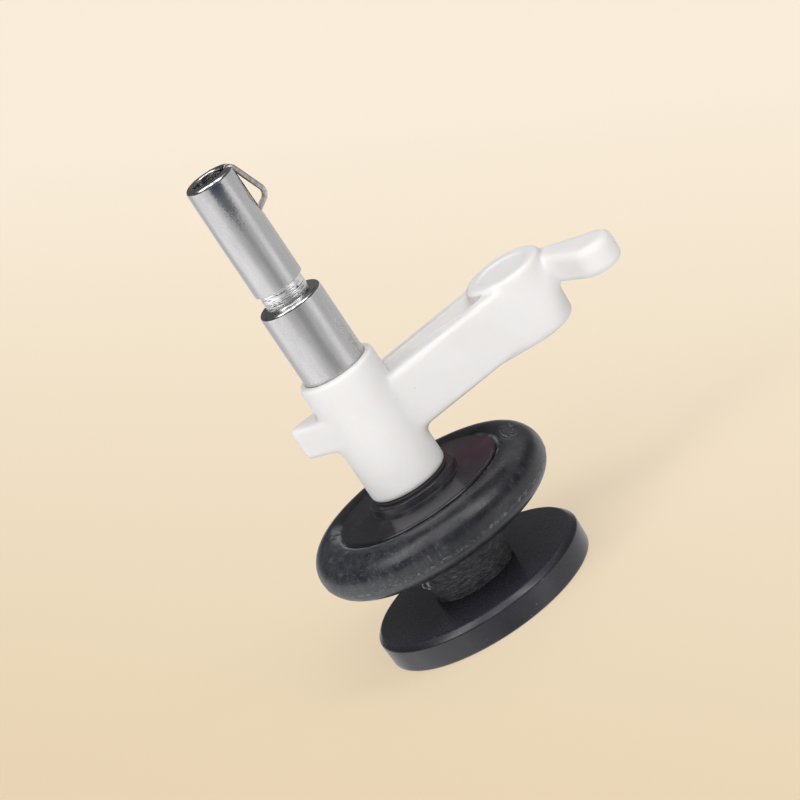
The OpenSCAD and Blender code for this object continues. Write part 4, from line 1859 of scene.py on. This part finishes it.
@dataclass
class Fixings:
    """The washers and the clip that hold the stack together."""

    washers: tuple[Washer, ...] = (
        Washer("upper_thrust_ring", "upper_thrust_washer", Body.LEVER, NaturalNylon(),
               3.12, Spindle.shoulder_r, 30.25, 30.55),
        # The lower ring's dark finish is painted shade for the gap under the boss
        Washer("lower_thrust_ring", "lower_thrust_washer", Body.ROTOR, ShadeDarkNylon(),
               3.02, 4.5, Spindle.journal_z, 17.15),
        Washer("disc_washer_ring", "disc_washer", Body.ROTOR, StampedSteel(),
               DriveStack.bore_r, 4.8, 1.3, DriveStack.recess_l))

    def build(self) -> None:
        """Makes the washers and dresses the clip."""
        for washer in self.washers:
            washer.build()
        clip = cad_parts["retaining_clip"]
        clip.data.materials.clear()
        clip.data.materials.append(OxideSteel().material())
        LOG.info("retaining_clip: dressed")


# ---- Studio ----


@dataclass(frozen=True)
class Panel:
    """A panel of the reflected room.

    Its middle and half width are in degrees to the right of the camera, its lowest and highest
    heights are sines, and its gain is how much brighter than the room it is.
    """

    middle: float
    half: float
    low: float
    high: float
    gain: float


@dataclass(frozen=True)
class Softbox:
    """A square softbox.

    It hangs at an angle to the right of the camera and an elevation, both in degrees. Its side
    and its distance from the object are in metres.
    """

    name: str
    right: float
    rise: float
    side: float
    watts: float
    away: float = 2.2

    def hang(self, target: Vector, start: float) -> None:
        """Hangs the softbox.

        Args:
            target: the point that it faces, in metres.
            start: the camera's own direction from the Z axis, in degrees.
        """
        data = bpy.data.lights.new(self.name, "AREA")
        data.shape, data.size, data.energy = "SQUARE", self.side, self.watts
        turn, rise = math.radians(start + self.right), math.radians(self.rise)
        out = Vector((math.cos(turn) * math.cos(rise), math.sin(turn) * math.cos(rise), math.sin(rise)))
        light = placed(self.name, data)
        light.visible_glossy = False
        light.matrix_world = facing(target + out * self.away, out)


@dataclass
class Studio:
    """The floor, the lights and the camera."""

    azimuth: float = -17.24
    elevation: float = 16.99
    roll: float = -33.8
    distance: float = 0.5
    px_per_mm: float = 9.0
    frame_px: float = 800.0
    middle: Point = (7.3, -0.9, 24.0)
    aim_mm: tuple[float, float] = (-10.25, 22.43)
    sensor: float = 36.0
    floor_r: float = 6.0
    floor_near: Colour = (0.775, 0.634, 0.438)
    floor_far: Colour = (0.918, 0.813, 0.668)
    floor_glow: float = 0.65
    floor_lift: float = 1.05
    table: float = 0.75
    room: float = 0.10
    horizon: Range = (-0.12, 0.06)
    feather: float = 0.1
    panels: tuple[Panel, ...] = (
        Panel(-76.0, 54.0, -1.2, -0.05, 0.55), Panel(53.0, 15.0, -1.2, -0.05, 0.50),
        Panel(6.0, 18.0, -1.2, -0.05, -0.26), Panel(0.0, 120.0, 0.68, 0.99, 0.9),
        Panel(-62.0, 22.0, 0.60, 0.99, 2.8), Panel(-4.0, 13.0, 0.70, 0.99, 1.6),
        Panel(48.0, 18.0, 0.60, 0.99, 3.2), Panel(150.0, 100.0, 0.12, 0.50, 0.035))
    softboxes: tuple[Softbox, ...] = (
        Softbox("front_box", -6.0, 19.0, 2.4, 29.5), Softbox("top_box", 170.0, 66.0, 2.2, 6.0),
        Softbox("back_box", 176.0, 20.0, 2.2, 7.0))

    def _axes(self) -> tuple[Vector, Vector, Vector]:
        """Works out how the camera is turned.

        Returns:
            Its right, up and backward directions.
        """
        a, e, r = (math.radians(v) for v in (self.azimuth, self.elevation, self.roll))
        back = Vector((math.sin(a) * math.cos(e), -math.cos(a) * math.cos(e), math.sin(e)))
        level = Vector((math.cos(a), math.sin(a), 0))
        right = math.cos(r) * level + math.sin(r) * back.cross(level)
        return right, back.cross(right), back

    def _place_camera(self) -> None:
        """Makes the camera at the object's viewing angle."""
        data = bpy.data.cameras.new("camera")
        data.sensor_width = self.sensor
        data.lens = self.sensor * self.distance / (self.frame_px / self.px_per_mm * MM)
        data.clip_start, data.clip_end = 0.01, 100.0
        right, up, back = self._axes()
        across, along = self.aim_mm
        aim = (across * right + along * up + Vector(self.middle).dot(back) * back) * MM
        cam = placed("camera", data)
        turn = Matrix((right, up, back)).transposed().to_4x4()
        cam.matrix_world = Matrix.Translation(aim + back * self.distance) @ turn
        bpy.context.scene.camera = cam

    def _lay_floor(self) -> None:
        """Lays a plain pale floor under the disc, which glows a little to soften the shadow."""
        bm = bmesh.new()
        bmesh.ops.create_circle(bm, cap_ends=True, radius=self.floor_r, segments=96)
        floor = placed("floor", mesh_of(bm, "floor"))
        s = Surface("pale_floor")
        # Painted light: the floor's colour grows lighter up the frame, from floor_near to floor_far, as a
        # fall of light would make it
        rise = s.measure("DOT_PRODUCT", s.mm, tuple(self._axes()[1]))
        low, high = (self.aim_mm[1] + side * self.frame_px / 2 / self.px_per_mm for side in (-1, 1))
        colour = s.mix(s.span(rise, low, high, smooth=False), self.floor_near, self.floor_far)
        s.set(Base_Color=s.mix(self.floor_glow, colour, (0.0, 0.0, 0.0)), Emission_Color=colour,
              Emission_Strength=self.floor_glow * self.floor_lift, Roughness=0.9, Specular_IOR_Level=0.0)
        floor.data.materials.append(s.made)
        floor.visible_glossy = floor.visible_diffuse = floor.visible_shadow = False

    def _build_room(self) -> None:
        """Surrounds the object with a dim room above and a bright table below, for its reflections."""
        world = bpy.data.worlds.new("studio_room")
        bpy.context.scene.world = world
        world.use_nodes = True
        s = Shader(world.node_tree)
        x, y, z = s.add("SeparateXYZ", {0: s.add("TexCoord").outputs["Generated"]}).outputs
        turn = s.bearing(x, y, self.azimuth - 90)
        level: Value = s.span(z, *self.horizon, self.table, self.room)
        for panel in self.panels:
            wide = s.span(s.gap(turn, panel.middle), panel.half * 0.5, panel.half, panel.gain, 0.0)
            tall = s.times(s.span(z, panel.low - self.feather, panel.low),
                           s.fall(z, panel.high, panel.high + self.feather))
            level = s.math("MULTIPLY_ADD", wide, tall, level)
        grey = s.add("CombineColor", {0: level, 1: level, 2: level}).outputs[0]
        s.feed(world.node_tree.nodes["Background"].inputs["Color"], grey)

    def build(self) -> None:
        """Sets up the camera, the floor and the light."""
        self._place_camera()
        self._lay_floor()
        self._build_room()
        for softbox in self.softboxes:
            softbox.hang(Vector(self.middle) * MM, self.azimuth - 90)
        view = bpy.context.scene.view_settings
        view.view_transform = "Standard"
        view.look = "None"


def main() -> None:
    """Builds the studio and every sub-assembly in order."""
    logging.basicConfig(level=logging.INFO, format="%(name)s: %(message)s")
    for maker in (Studio, Spindle, BobbinSpring, LeverArm, DriveStack, MouldingCurl, Fixings):
        maker().build()


if __name__ == "__main__":
    main()
